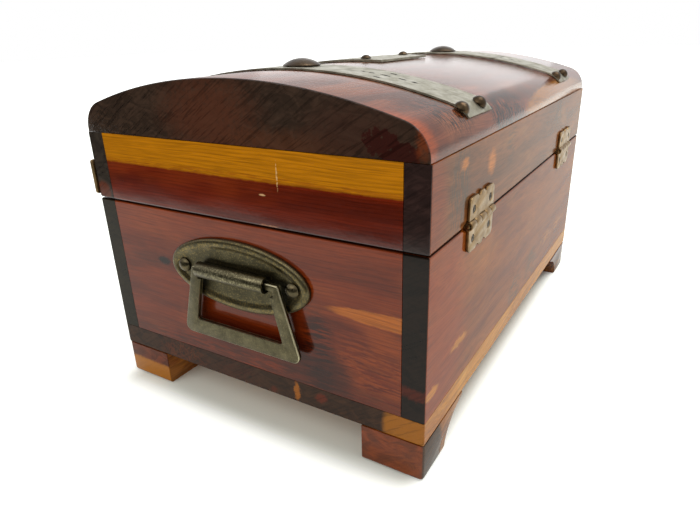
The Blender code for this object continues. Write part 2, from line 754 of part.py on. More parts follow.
def slot_cutter(lid):
    """The cutter of one strap's slots, those of the front half mirroring the back ones."""
    parts = []
    for path, x, length in strap_slots():
        for way in (-1, 1):
            spot, outward = lid_spot(way * path, SEAT_GAP + STRAP_THICKNESS / 2, x)
            drawing = [(v, u) for u, v in stadium(length, SLOT_WIDTH)]
            bm = prism([drawing], "z", -STRAP_THICKNESS, STRAP_THICKNESS)
            turn = facing(spot - Vector((0, *lid["spot"][1:])), outward)
            parts.append((bm, turn))
    return merged(parts)


def make_strap(lid, side, way_x, top_board):
    """A strap over the lid with a stud on the crest and two nails at each end."""
    middle = Vector((way_x * STRAP_X, 0, 0))
    pivot = Vector(lid["spot"])
    bm = lid_strip(-STRAP_END, STRAP_END, STRAP_THICKNESS, lambda path: STRAP_WIDTH / 2)
    bmesh.ops.translate(bm, verts=bm.verts, vec=(0, -pivot.y, -pivot.z))
    strap = new_piece(f"strap_{side}", bm, GREY_STEEL, lid, middle + pivot)
    cut(strap, new_tool(f"strap_{side}_slots", slot_cutter(lid), lid, middle + pivot))
    shifts = {"back": RIGHT_BACK_NAIL_SHIFT if side == "right" else LEFT_BACK_NAIL_SHIFT, "front": 0}
    reach = STRAP_WIDTH / 2 - STRAP_NAIL_SIDE_INSET
    path = STRAP_END - STRAP_NAIL_END_INSET
    names, places = [], []
    for end, way in ENDS:
        for index, x in enumerate((reach, -reach), 1):
            spot, outward = lid_spot(way * path, STRAP_OUTSIDE + SEAT_GAP, middle.x + x + shifts[end])
            names.append(f"strap_{side}_{end}_nail_{index}")
            places.append((spot, outward))
    grip = NAIL_GRIP + STRAP_OUTSIDE + SEAT_GAP
    stud_path = LEFT_STUD_SHIFT if side == "left" else 0
    crest = [lid_spot(stud_path, STRAP_OUTSIDE + SEAT_GAP, middle.x)]
    drive(names, places, lambda: nail(STRAP_NAIL_RADIUS, STRAP_NAIL_RISE, grip), DARK_BRONZE, lid)
    drive([f"crest_stud_{side}"], crest, lambda: crest_stud(grip), DARK_BRONZE, lid)
    drill(f"strap_{side}_bores", places + crest, lambda: bore(grip, STRAP_NAIL_RISE), lid,
          [strap, top_board])


def crest_stud(grip):
    """The large round-headed stud on the crest of a strap."""
    return nail(STUD_RADIUS, STUD_RISE, grip, sides=STUD_SIDES, steps=STUD_STEPS)


def oval_ring(bm, inset, height):
    """The points of an oval, drawn in from the handle plate's edge, at a height off the panel."""
    long, short = PLATE_LENGTH / 2 - inset, PLATE_HEIGHT / 2 - inset
    angles = [math.tau * step / OVAL_SIDES for step in range(OVAL_SIDES)]
    return [bm.verts.new((height, long * math.cos(a), short * math.sin(a))) for a in angles]


def handle_plate():
    """The oval plate: flat behind, with a raised rim round a dished middle."""
    bm = bmesh.new()
    inner = RIM_ROUND + RIM_CROWN
    steps = ((0, SEAT_GAP), (0, PLATE_EDGE), (RIM_ROUND, PLATE_RELIEF), (inner, PLATE_RELIEF),
             (inner + RIM_SLOPE, PLATE_FLOOR))
    return skin(bm, [oval_ring(bm, inset, height) for inset, height in steps])


def rolled_eye():
    """The open roll across the plate that holds the bail's top bar."""
    centre = (EYE_STAND_OFF, 0)
    outer = arc(centre, EYE_RADIUS, EYE_START, EYE_END, EYE_STEPS)
    inner = arc(centre, EYE_RADIUS - EYE_WALL, EYE_END, EYE_START, EYE_STEPS)
    return prism([outer + inner], "y", -EYE_LENGTH / 2, EYE_LENGTH / 2)


def bail():
    """The flat bail about its axis: a trapezoid whose window narrows below the eye."""
    top, bottom = BAIL_TOP_WIDTH / 2, BAIL_BOTTOM_WIDTH / 2
    small = BAIL_SMALL_CORNER
    outer = [(top, BAIL_BAR_HALF, small), (-top, BAIL_BAR_HALF, small),
             (-bottom, -BAIL_DROP, BAIL_CORNER), (bottom, -BAIL_DROP, BAIL_CORNER)]
    neck = EYE_LENGTH / 2 + BAIL_NECK_PLAY
    shoulder = -BAIL_NECK_DROP
    low = BAIL_BAR_HEIGHT - BAIL_DROP
    half = [(BAIL_WINDOW_BOTTOM_WIDTH / 2, low, 2 * small),
            (BAIL_WINDOW_TOP_WIDTH / 2, shoulder - small, small / 3),
            (neck, shoulder, small / 3), (neck, -BAIL_BAR_HALF, small / 3)]
    window = half + [(-u, v, radius) for u, v, radius in reversed(half)]
    drawings = [rounded(outer), rounded(window)]
    return prism(drawings, "x", -BAIL_THICKNESS / 2, BAIL_THICKNESS / 2, BAIL_EDGE)


def make_handle(datum, side, way_x, end_board):
    """A handle on one end: its plate, two rivets and a bail on its own pivot."""
    turn = (0, 0, 0) if way_x > 0 else (0, 0, math.pi)
    spot = (way_x * LENGTH / 2, PLATE_Y, PLATE_Z)
    eye_spot = (spot[0], PLATE_Y, HANDLE_Z)
    axis = (way_x * (LENGTH / 2 + EYE_STAND_OFF), 0, HANDLE_Z)
    plate = new_piece(f"handle_plate_{side}", handle_plate(), OLIVE_BRONZE, datum, spot, turn)
    add(plate, new_tool(f"handle_eye_{side}", rolled_eye(), datum, eye_spot, turn))
    seat_x = way_x * (LENGTH / 2 + PLATE_FLOOR + SEAT_GAP)
    outward = X_AXIS * way_x
    places = [((seat_x, PLATE_Y + y, PLATE_Z), outward) for y in (-RIVET_Y, RIVET_Y)]
    names = [f"handle_rivet_{side}_{end}" for end in ("front", "back")]
    grip = NAIL_GRIP + PLATE_FLOOR
    wide = RIVET_RADIUS + BORE_GAP
    drive(names, places, lambda: nail(RIVET_RADIUS, RIVET_RISE, grip), DARK_BRONZE, datum)
    drill(f"handle_bores_{side}", places, lambda: bore(grip, RIVET_RISE, wide=wide), datum,
          [plate, end_board])
    pivot = new_carrier(f"bail_pivot_{side}", datum, axis)
    new_piece(f"bail_{side}", bail(), OLIVE_BRONZE, pivot, axis, turn)


def hasp_half_width(path):
    """Half the width of the hasp's plate: full over the crest, drawn in towards the knuckles."""
    share = min(max((-path - HASP_TAPER_START) / HASP_TAPER_LENGTH, 0), 1)
    drawn_in = (1 - math.cos(math.pi * share)) / 2
    return (HASP_WIDTH + (HASP_TONGUE_WIDTH - HASP_WIDTH) * drawn_in) / 2


def make_hasp_plate(lid, top_board):
    """The hasp's plate over the crest, with two nails at its back and two near its knuckles."""
    pivot = Vector(lid["spot"])
    bm = lid_strip(-PATH_LENGTH, HASP_BACK, HASP_THICKNESS, hasp_half_width)
    bmesh.ops.translate(bm, verts=bm.verts, vec=-pivot)
    plate = new_piece("hasp_plate", bm, GREY_STEEL, lid, pivot)
    high = HASP_WIDTH / 2 - HASP_NAIL_INSET
    low = HASP_TONGUE_WIDTH / 2 - HASP_LOW_NAIL_INSET
    lift = HASP_OUTSIDE + SEAT_GAP
    places = [lid_spot(HASP_BACK - HASP_NAIL_BACK_INSET, lift, x) for x in (high, -high)]
    places += [lid_spot(HASP_LOW_NAIL_UP - PATH_LENGTH, lift, x) for x in (low, -low)]
    grip = NAIL_GRIP + lift
    names = [f"hasp_{row}_nail_{index}" for row in ("crest", "lower") for index in (1, 2)]
    drive(names, places, lambda: nail(HASP_NAIL_RADIUS, HASP_NAIL_RISE, grip), DARK_BRONZE, lid)
    drill("hasp_bores", places, lambda: bore(grip, HASP_NAIL_RISE), lid, [plate, top_board])
    return plate


def tab(thickness, root_y):
    """A bent-out tab with a round end, drawn from above, its underside at its origin."""
    half = TAB_WIDTH / 2
    middle = (0, TAB_TIP_Y + half)
    drawing = [(-half, root_y)] + arc(middle, half, math.pi, math.tau, 3 * CORNER_STEPS) + [(half, root_y)]
    return prism([drawing], "z", 0, thickness)


def make_tongue(pivot, eye_slot):
    """The hasp's tongue: a tapered plate on the hasp's axis with its tab bent out at the tip."""
    top = -(BORE_RADIUS + KNUCKLE_RADIUS) / 2
    tab_z = KEEPER_TOP_Z + TAB_GAP
    tip = tab_z + TAB_ROOT - HASP_Z
    wide, narrow = HASP_TONGUE_WIDTH / 2, TONGUE_TIP_WIDTH / 2
    low = top - TONGUE_TAPER
    half = TAB_WIDTH / 2
    drawing = mirrored([(half, tip), (narrow, tip + narrow - half), (narrow, low), (wide, top)])
    bm = prism([drawing], "y", -TONGUE_THICKNESS / 2, TONGUE_THICKNESS / 2)
    spot = (0, HASP_Y, HASP_Z)
    tongue = new_piece("hasp_tongue", bm, GREY_STEEL, pivot, spot)
    root_y = HASP_Y + TONGUE_THICKNESS / 2 - TAB_ROOT
    add(tongue, new_tool("tongue_tab", tab(TONGUE_THICKNESS, root_y), pivot, (0, 0, tab_z)))
    cut(tongue, eye_slot)
    return tongue


def make_keeper(datum, eye_slot, front_board):
    """The keeper on the front board, its tab just under the tongue's."""
    half = KEEPER_WIDTH / 2
    low = KEEPER_TOP_Z - KEEPER_HEIGHT
    high = KEEPER_TOP_Z - TAB_ROOT
    corners = [(half, low), (half, high), (-half, high), (-half, low)]
    drawing = rounded([(u, v, KEEPER_CORNER) for u, v in corners])
    face_y = -DEPTH / 2 - SEAT_GAP
    bm = prism([drawing], "y", -KEEPER_THICKNESS, 0)
    keeper = new_piece("hasp_keeper", bm, GREY_STEEL, datum, (0, face_y, 0))
    tool = new_tool("keeper_tab", tab(KEEPER_THICKNESS, face_y - TAB_ROOT), datum,
                    (0, 0, KEEPER_TOP_Z - KEEPER_THICKNESS))
    add(keeper, tool)
    cut(keeper, eye_slot)
    reach = half - KEEPER_NAIL_INSET
    seat_y = face_y - KEEPER_THICKNESS - SEAT_GAP
    places = [((x, seat_y, low + KEEPER_NAIL_RISE), -Y_AXIS) for x in (reach, -reach)]
    grip = NAIL_GRIP + KEEPER_OUTSIDE + SEAT_GAP
    names = ["keeper_nail_1", "keeper_nail_2"]
    drive(names, places, lambda: nail(HASP_NAIL_RADIUS, HASP_NAIL_RISE, grip), DARK_BRONZE, datum)
    drill("keeper_bores", places, lambda: bore(grip, HASP_NAIL_RISE), datum, [keeper, front_board])


def make_hasp(datum, lid, top_board, front_board):
    """The hasp: its plate and tongue on one barrel, and its keeper on the body."""
    spot = (0, HASP_Y, HASP_Z)
    pivot = new_carrier("hasp_pivot", lid, spot)
    slot_y = TAB_TIP_Y + EYE_SLOT_INSET + EYE_SLOT_WIDTH / 2
    bm = prism([stadium(EYE_SLOT_LENGTH, EYE_SLOT_WIDTH)], "z", -TAB_REACH, TAB_REACH)
    eye_slot = new_tool("eye_slot", bm, datum, (0, slot_y, KEEPER_TOP_Z))
    plate = make_hasp_plate(lid, top_board)
    tongue = make_tongue(pivot, eye_slot)
    make_keeper(datum, eye_slot, front_board)
    spans = knuckle_spans(HASP_TONGUE_WIDTH, 3, RUNNING_GAP)
    make_barrel(plate, spans, lambda index: index != 1, lid, spot)
    make_barrel(tongue, spans, lambda index: index == 1, pivot, spot)
    make_pin("hasp_pin", HASP_TONGUE_WIDTH, GREY_STEEL, lid, spot)


def make_corner_plate(lid, side, way_x):
    """A flat plate on a front lower corner of the lid, its free edge scalloped."""
    corners = [(0, 0), (CORNER_WIDTH, 0), (CORNER_WIDTH, CORNER_ARM),
               (CORNER_WIDTH - CORNER_ARM, CORNER_WAIST), (CORNER_LOBE, CORNER_LOBE),
               (CORNER_WAIST, CORNER_HEIGHT - CORNER_ARM), (CORNER_ARM, CORNER_HEIGHT),
               (0, CORNER_HEIGHT)]
    drawing = rounded([(-way_x * u, v, CORNER_ROUND) for u, v in corners])
    bm = prism([drawing], "y", -CORNER_THICKNESS, 0)
    spot = (way_x * (LENGTH / 2 + CORNER_OVERHANG), -DEPTH / 2 - SEAT_GAP, RAIL_Z + CORNER_RISE)
    new_piece(f"lid_corner_plate_{side}", bm, PALE_BRASS, lid, spot)


def main():
    """Build the chest from the floor up."""
    clear_scene()
    datum = new_carrier("chest_datum", None, (0, 0, 0))
    datum.location = (0, CENTRE_Y, 0)
    lid = new_carrier("lid_pivot", datum, (0, HINGE_Y, SEAM_Z))
    make_bottom(datum)
    for end, way_y in ENDS:
        for side, way_x in SIDES:
            make_foot(datum, end, way_y, side, way_x)
    body = box_boards(WALL_HEIGHT, WALL_Z, datum, "{}_board", 1)
    rails = box_boards(RAIL_HEIGHT, RAIL_Z, lid, "lid_{}_rail", -1)
    top_board = make_top_board(lid)
    for side, way_x in SIDES:
        make_hinge(datum, lid, side, way_x, body["back"], rails["back"])
        make_strap(lid, side, way_x, top_board)
        make_handle(datum, side, way_x, body[side])
        make_corner_plate(lid, side, way_x)
    make_hasp(datum, lid, top_board, body["front"])


main()
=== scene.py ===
"""A small dome-topped treasure chest of varnished red cedar with antique metal fittings.

The frame brings the chest's boards, which get their timber here. The arched lid board, the feet and
the metal fittings are modelled over the solids that they stand for. Sizes are in millimetres in
chest coordinates: X along the length, Y from the front (hasp) to the back (hinges), Z up from the
floor. Right means +X and left means -X.
"""

import json
import logging
import math
from collections.abc import Callable, Iterator, Sequence
from contextlib import contextmanager
from dataclasses import dataclass, field, replace
from enum import Enum

import bmesh
import bpy
from mathutils import Matrix, Vector

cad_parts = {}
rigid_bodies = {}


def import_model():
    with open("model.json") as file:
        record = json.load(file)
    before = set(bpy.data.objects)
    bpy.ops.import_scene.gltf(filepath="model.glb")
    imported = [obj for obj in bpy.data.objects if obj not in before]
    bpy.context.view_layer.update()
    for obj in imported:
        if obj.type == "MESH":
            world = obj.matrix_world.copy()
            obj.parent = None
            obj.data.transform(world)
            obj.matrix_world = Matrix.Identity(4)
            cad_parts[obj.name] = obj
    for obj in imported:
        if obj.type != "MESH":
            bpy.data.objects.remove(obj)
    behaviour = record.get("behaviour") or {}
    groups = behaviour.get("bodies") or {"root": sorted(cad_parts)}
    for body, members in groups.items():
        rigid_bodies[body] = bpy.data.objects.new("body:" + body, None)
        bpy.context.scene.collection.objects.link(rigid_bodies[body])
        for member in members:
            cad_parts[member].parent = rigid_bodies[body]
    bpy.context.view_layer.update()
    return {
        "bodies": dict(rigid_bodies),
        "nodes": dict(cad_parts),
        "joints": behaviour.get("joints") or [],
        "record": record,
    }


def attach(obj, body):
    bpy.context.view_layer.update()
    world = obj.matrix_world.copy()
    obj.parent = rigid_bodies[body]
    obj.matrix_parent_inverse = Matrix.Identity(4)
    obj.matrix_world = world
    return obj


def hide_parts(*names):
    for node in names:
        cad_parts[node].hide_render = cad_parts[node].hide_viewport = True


log = logging.getLogger("treasure_chest")

MM = 0.001
CENTRE_Y = 3.95  # the chest's own middle lies this far behind the middle of the whole object
SEAM_Z = 79.7  # the height of the seam between the case and the lid
NEAR = 0.01 * MM  # places that are closer than this are the same place
DOUBLE = 0.001 * MM  # vertices that are closer than this are merged
FLAT = math.radians(1)  # faces that meet at less than this lie in one plane
OVERLAP = 0.05  # how far in millimetres one cutter reaches into the room of another
SHARP = 50.0  # the angle in degrees from which an edge of a cut or cast piece is rounded
STEEL_DENTS = (2.6, 0.14)  # the size and depth of the hammer marks in the straps and the hasp
NAIL_DENTS = (1.6, 0.09)  # the size and depth of the unevenness of the nails' heads
PAIR = ((1, 1), (2, -1))  # the number and the side of each nail in a pair

Spot = tuple[float, float, float]
Colour = tuple[int, int, int]
Socket = bpy.types.NodeSocket


class Part(Enum):
    """The kind of mesh element that is picked."""

    VERTS = "VERT"
    EDGES = "EDGE"


class Grain(Enum):
    """The direction of a board's grain, as the number of its axis."""

    ALONG_X = 0
    ALONG_Y = 1


class Side(Enum):
    """The right or left end of the chest, as the sign of X."""

    RIGHT = 1
    LEFT = -1

    @property
    def word(self) -> str:
        """The side's name as the nodes write it."""
        return self.name.lower()


class End(Enum):
    """The front or back of the chest, as the sign of Y."""

    FRONT = -1
    BACK = 1

    @property
    def word(self) -> str:
        """The end's name as the nodes write it."""
        return self.name.lower()


def at(x: float, y: float, z: float) -> Vector:
    """The frame's point in metres for a place on the chest in millimetres."""
    return Vector((x, y + CENTRE_Y, z)) * MM


def linear(colour: Colour) -> tuple[float, float, float, float]:
    """Turn a colour of three levels from 0 to 255 into what a shader takes.

    Args:
        colour: Red, green and blue as seen on a screen.

    Returns:
        The linear colour with full alpha.
    """
    shares = [level / 255 for level in colour]
    levels = [s / 12.92 if s <= 0.04045 else ((s + 0.055) / 1.055) ** 2.4 for s in shares]
    return (levels[0], levels[1], levels[2], 1.0)


# ---------------------------------------------------------------- materials


class Graph:
    """The node graph of one material or world, with short ways to add and join its nodes."""

    def __init__(self, owner: bpy.types.Material | bpy.types.World) -> None:
        """Start a graph that holds only its shader and output.

        Args:
            owner: The material or world.
        """
        owner.use_nodes = True
        self.owner = owner
        self.tree = owner.node_tree
        shaders = ("BSDF_PRINCIPLED", "BACKGROUND")
        self.shader = next(node for node in self.tree.nodes if node.type in shaders)

    @classmethod
    def material(cls, name: str) -> "Graph":
        """Start a new material's graph."""
        return cls(bpy.data.materials.new(name))

    def feed(self, socket: Socket, value: object) -> None:
        """Link an output to a socket, or set the socket's own value.

        Args:
            socket: The input to feed.
            value: An output socket or a plain value.
        """
        if isinstance(value, Socket):
            self.tree.links.new(value, socket)
        else:
            socket.default_value = value

    def add(self, kind: str, feeds: dict | None = None, **settings: object) -> bpy.types.Node:
        """Add a node.

        Args:
            kind: The node's type without its ShaderNode prefix.
            feeds: What goes into its inputs, by name or number.
            **settings: The node's own settings.

        Returns:
            The new node.
        """
        node = self.tree.nodes.new("ShaderNode" + kind)
        for key, value in settings.items():
            setattr(node, key, value)
        for key, value in (feeds or {}).items():
            self.feed(node.inputs[key], value)
        return node

    def finish(self, feeds: dict) -> bpy.types.Material | bpy.types.World:
        """Feed the shader.

        Args:
            feeds: What goes into the shader's inputs, by name.

        Returns:
            The finished material or world.
        """
        for key, value in feeds.items():
            self.feed(self.shader.inputs[key], value)
        return self.owner

    def place(self) -> Socket:
        """The place on the piece in chest millimetres."""
        coordinates = self.add("TexCoord")
        return self.add("Mapping", {"Vector": coordinates.outputs["Object"], "Scale": (1000, 1000, 1000),
                                    "Location": (0, -CENTRE_Y, 0)}).outputs[0]

    def vector(self, operation: str, first: object, second: object = (0, 0, 0)) -> Socket:
        """Work on vectors, with a number as the result of LENGTH."""
        node = self.add("VectorMath", {0: first, 1: second}, operation=operation)
        return node.outputs["Value" if operation == "LENGTH" else "Vector"]

    def math(self, operation: str, first: object, second: object = 0.0) -> Socket:
        """Work on numbers."""
        return self.add("Math", {0: first, 1: second}, operation=operation).outputs[0]

    def step(self, value: object, low: float, high: float, start: float = 0.0, end: float = 1.0) -> Socket:
        """A smooth step from start to end, while a value goes from low to high."""
        feeds = {"Value": value, "From Min": low, "From Max": high, "To Min": start, "To Max": end}
        return self.add("MapRange", feeds, interpolation_type="SMOOTHSTEP").outputs[0]

    def turned(self, place: Socket, angle: float) -> Socket:
        """A place turned about the X axis by an angle in degrees."""
        return self.add("Mapping", {"Vector": place, "Rotation": (math.radians(angle), 0, 0)}).outputs[0]

    def sway(self, noise: bpy.types.Node, reach: Spot) -> Socket:
        """The offset that a noise gives, up to half of a reach to either side."""
        centred = self.vector("SUBTRACT", noise.outputs["Color"], (0.5, 0.5, 0.5))
        return self.vector("MULTIPLY", centred, reach)

    def noise(self, place: object, stretch: Spot, detail: float = 2.0, rough: float = 0.5,
              twist: float = 0.0, offset: float = 0.0) -> bpy.types.Node:
        """Noise whose blotches have a size along each axis.

        Args:
            place: The place in millimetres.
            stretch: The size of a blotch along X, Y and Z in millimetres.
            detail: How many finer layers it has.
            rough: How strong the finer layers are.
            twist: How far it is distorted.
            offset: Shifts the pattern, so that each board has its own.

        Returns:
            The noise node.
        """
        spot = self.vector("DIVIDE", place, stretch)
        if offset:
            spot = self.vector("ADD", spot, (offset, offset * 0.7, offset * 1.3))
        feeds = {"Vector": spot, "Scale": 1.0, "Detail": detail, "Roughness": rough, "Distortion": twist}
        return self.add("TexNoise", feeds)

    def mix(self, share: object, first: object, second: object, kind: str = "MIX") -> Socket:
        """Mix two colours, with a share of the second."""
        node = self.add("Mix", {0: share, 6: first, 7: second}, data_type="RGBA", blend_type=kind)
        return node.outputs[2]

    def ramp(self, value: object, stops: Sequence[tuple[float, float]]) -> Socket:
        """A curve of grey levels.

        Args:
            value: The number that drives it.
            stops: Pairs of a place and a level.

        Returns:
            The level.
        """
        node = self.add("ValToRGB", {0: value})
        elements = node.color_ramp.elements
        while len(elements) < len(stops):
            elements.new(0.5)
        for element, (place, level) in zip(elements, stops):
            element.position = place
            element.color = (level, level, level, 1)
        return node.outputs[0]

    def bump(self, height: object, depth: float, under: object | None = None) -> Socket:
        """A relief.

        Args:
            height: The height from 0 to 1.
            depth: The depth of the relief in millimetres.
            under: Another relief that this one lies on.

        Returns:
            The bent normal.
        """
        node = self.add("Bump", {"Height": height, "Distance": depth * MM, "Strength": 1.0})
        if under is not None:
            self.feed(node.inputs["Normal"], under)
        return node.outputs[0]


class Figure(Enum):
    """How fine lines break up a patch."""

    PLAIN = 0
    STREAKED = 1
    BURL = 2


@dataclass(frozen=True)
class Patch:
    """An area of another colour, with an oval outline in chest millimetres.

    Attributes:
        colour: Its colour.
        centre: Its middle.
        reach: Its half size along each axis.
        strength: How much of it shows.
        soft: How wide its edge is, as a share of its size.
        figure: Whether lines along or across the grain break it up.
        ragged: How uneven its outline is.
    """

    colour: Colour
    centre: Spot
    reach: Spot
    strength: float = 1.0
    soft: float = 0.2
    figure: Figure = Figure.PLAIN
    ragged: float = 1.0

    def lay(self, graph: Graph, under: Socket, place: Socket, sway: Socket,
            lines: dict[Figure, Socket]) -> Socket:
        """Lay the patch over a colour.

        Args:
            graph: The material's graph.
            under: The colour below.
            place: The place in millimetres.
            sway: How far the place sways for a fully ragged outline.
            lines: For each figure, fine lines from 0 to 1.

        Returns:
            The colour with the patch.
        """
        if self.ragged:
            spread = (self.ragged, self.ragged, self.ragged)
            place = graph.vector("ADD", place, graph.vector("MULTIPLY", sway, spread))
        away = graph.vector("DIVIDE", graph.vector("SUBTRACT", place, self.centre), self.reach)
        share = graph.step(graph.vector("LENGTH", away), 1 - self.soft, 1 + self.soft, self.strength, 0)
        if self.figure in lines:
            share = graph.math("MULTIPLY", share, lines[self.figure])
        return graph.mix(share, under, linear(self.colour))


ALONG_DRIFT = 0.001  # how far in millimetres the growth lines drift along the grain
# The dark line along the seam is painted shade: the boards darken where the gap between the lid and the
# case lies in shade.
SEAM_SHADE = (0.3, 0.7)  # from where to where the dark line along the seam fades out
CRACK_SLANT = -33.0  # the slant in degrees of the fine cracks in the end grain
END_GAIN = 1.35  # how much lighter the end grain's light figure is


@dataclass(frozen=True)
class Timber:
    """A varnished cedar board.

    Attributes:
        name: The finish's name.
        grain: The direction of the grain.
        heart: The colour of most of the board.
        pale: The colour of its lighter figure.
        dark: The colour of its darker figure.
        end: The colour of its end grain.
        seed: Shifts the figure, so that each board has its own.
        pith: Where the middle of the log lies across the grain.
        ring: The distance between growth lines in millimetres.
        ring_depth: How strong the growth lines are.
        end_from: Where along the grain the end grain starts.
        coat: How much varnish there is on the long faces.
        end_coat: How much varnish there is on the end grain.
        peel: The depth of the varnish's unevenness in millimetres.
        haze: The varnish's roughness.
        wander: How far the growth lines wander in millimetres.
        curl: How strong the dark lines across the end grain are.
        patches: Knots, sapwood and other areas of the long faces.
        end_patches: Areas of the end grain.
    """

    name: str
    grain: Grain
    heart: Colour
    pale: Colour
    dark: Colour
    end: Colour = (34, 26, 22)
    seed: float = 1.0
    pith: tuple[float, float] = (30.0, -60.0)
    ring: float = 3.1
    ring_depth: float = 0.3
    end_from: float = 105.7
    coat: float = 0.6
    end_coat: float = 0.5
    peel: float = 0.012
    haze: float = 0.13
    wander: float = 13.0
    curl: float = 0.3
    patches: tuple[Patch, ...] = ()
    end_patches: tuple[Patch, ...] = ()

    def stretched(self, along: float, across: float) -> Spot:
        """A size along and across the grain as one along each axis."""
        return (along, across, across) if self.grain is Grain.ALONG_X else (across, along, across)

    def material(self) -> bpy.types.Material:
        """Build the board's material.

        Returns:
            The material.
        """
        graph = Graph.material(self.name)
        place = graph.place()
        drift = graph.sway(graph.noise(place, self.stretched(75, 24), 2, 0.5, offset=self.seed),
                           self.stretched(ALONG_DRIFT, self.wander))
        bent = graph.vector("ADD", place, drift)
        across = (0, 1, 1) if self.grain is Grain.ALONG_X else (1, 0, 1)
        pith = (0, *self.pith) if self.grain is Grain.ALONG_X else (self.pith[0], 0, self.pith[1])
        from_pith = graph.vector("MULTIPLY", graph.vector("SUBTRACT", bent, pith), across)
        rings = graph.math("FRACT", graph.math("DIVIDE", graph.vector("LENGTH", from_pith), self.ring))
        line = graph.ramp(rings, ((0, 0), (0.5, 0.12), (0.86, 1), (1, 0)))
        tone = graph.noise(bent, self.stretched(85, 7), 4, 0.55, offset=self.seed).outputs[0]
        cloud = graph.noise(place, self.stretched(46, 19), 3, 0.5, 0.4, offset=self.seed * 2).outputs[0]
        fibre = graph.noise(bent, self.stretched(16, 0.42), 3, 0.6, offset=self.seed).outputs[0]
        sway = graph.sway(graph.noise(place, self.stretched(3.4, 1.5), 3, 0.6, offset=self.seed), (3, 3, 3))
        sway = graph.vector("ADD", sway, graph.vector("MULTIPLY", drift, (0.3, 0.3, 0.3)))
        streaks = graph.noise(bent, self.stretched(9, 1.1), 3, 0.65, 0.3, offset=self.seed + 3).outputs[0]
        curls = graph.noise(place, self.stretched(0.75, 5), 3, 0.6, 1.1, offset=self.seed + 5).outputs[0]
        lines = {Figure.STREAKED: graph.step(streaks, 0.42, 0.56),
                 Figure.BURL: graph.step(curls, 0.45, 0.54)}
        colour = graph.mix(graph.step(tone, 0.34, 0.64), linear(self.dark), linear(self.heart))
        colour = graph.mix(graph.step(cloud, 0.5, 0.76), colour, linear(self.pale))
        for patch in self.patches:
            colour = patch.lay(graph, colour, place, sway, lines)
        grooves = graph.step(line, 0, 1, 1, 1 - self.ring_depth)
        pores = graph.step(fibre, 0.3, 0.66, 0.74, 1.1)
        colour = graph.mix(1.0, colour, graph.math("MULTIPLY", grooves, pores), "MULTIPLY")
        spot = graph.add("SeparateXYZ", {0: place}).outputs
        # Painted shade: each board is darkened near the seam between the lid and the case.
        from_seam = graph.math("ABSOLUTE", graph.math("SUBTRACT", spot[2], SEAM_Z))
        painted_shade = graph.step(from_seam, *SEAM_SHADE, 0.16, 1)
        along = graph.math("ABSOLUTE", spot[self.grain.value])
        at_end = graph.step(along, self.end_from - 0.3, self.end_from + 0.1)
        swirl = graph.noise(bent, (6, 9, 4), 5, 0.62, 1.6, offset=self.seed).outputs[0]
        slanted = graph.turned(place, CRACK_SLANT)
        hairs = graph.noise(slanted, (6, 13, 0.8), 3, 0.6, 0.5, offset=self.seed).outputs[0]
        lighter = tuple(min(255, int(level * END_GAIN)) for level in self.end)
        end = graph.mix(graph.step(swirl, 0.38, 0.66), linear(self.end), linear(lighter))
        for patch in self.end_patches:
            end = patch.lay(graph, end, place, sway, lines)
        end = graph.mix(1.0, end, graph.step(hairs, 0.36, 0.5, 1 - self.curl, 1.0), "MULTIPLY")
        colour = graph.mix(1.0, graph.mix(at_end, colour, end), painted_shade, "MULTIPLY")
        pebbles = graph.noise(place, (1.1, 1.1, 1.1), 3, 0.55).outputs[0]
        swell = graph.noise(place, self.stretched(26, 9), 1, 0.5, offset=self.seed).outputs[0]
        relief = graph.bump(fibre, 0.012, graph.bump(line, 0.01))
        varnish = graph.bump(pebbles, self.peel, graph.bump(swell, 0.1))
        return graph.finish({
            "Base Color": colour, "Roughness": graph.step(fibre, 0.2, 0.8, 0.62, 0.42),
            "Specular IOR Level": 0.0, "Normal": relief,
            "Coat Weight": graph.step(at_end, 0, 1, self.coat, self.end_coat), "Coat Roughness": self.haze,
            "Coat Normal": varnish})


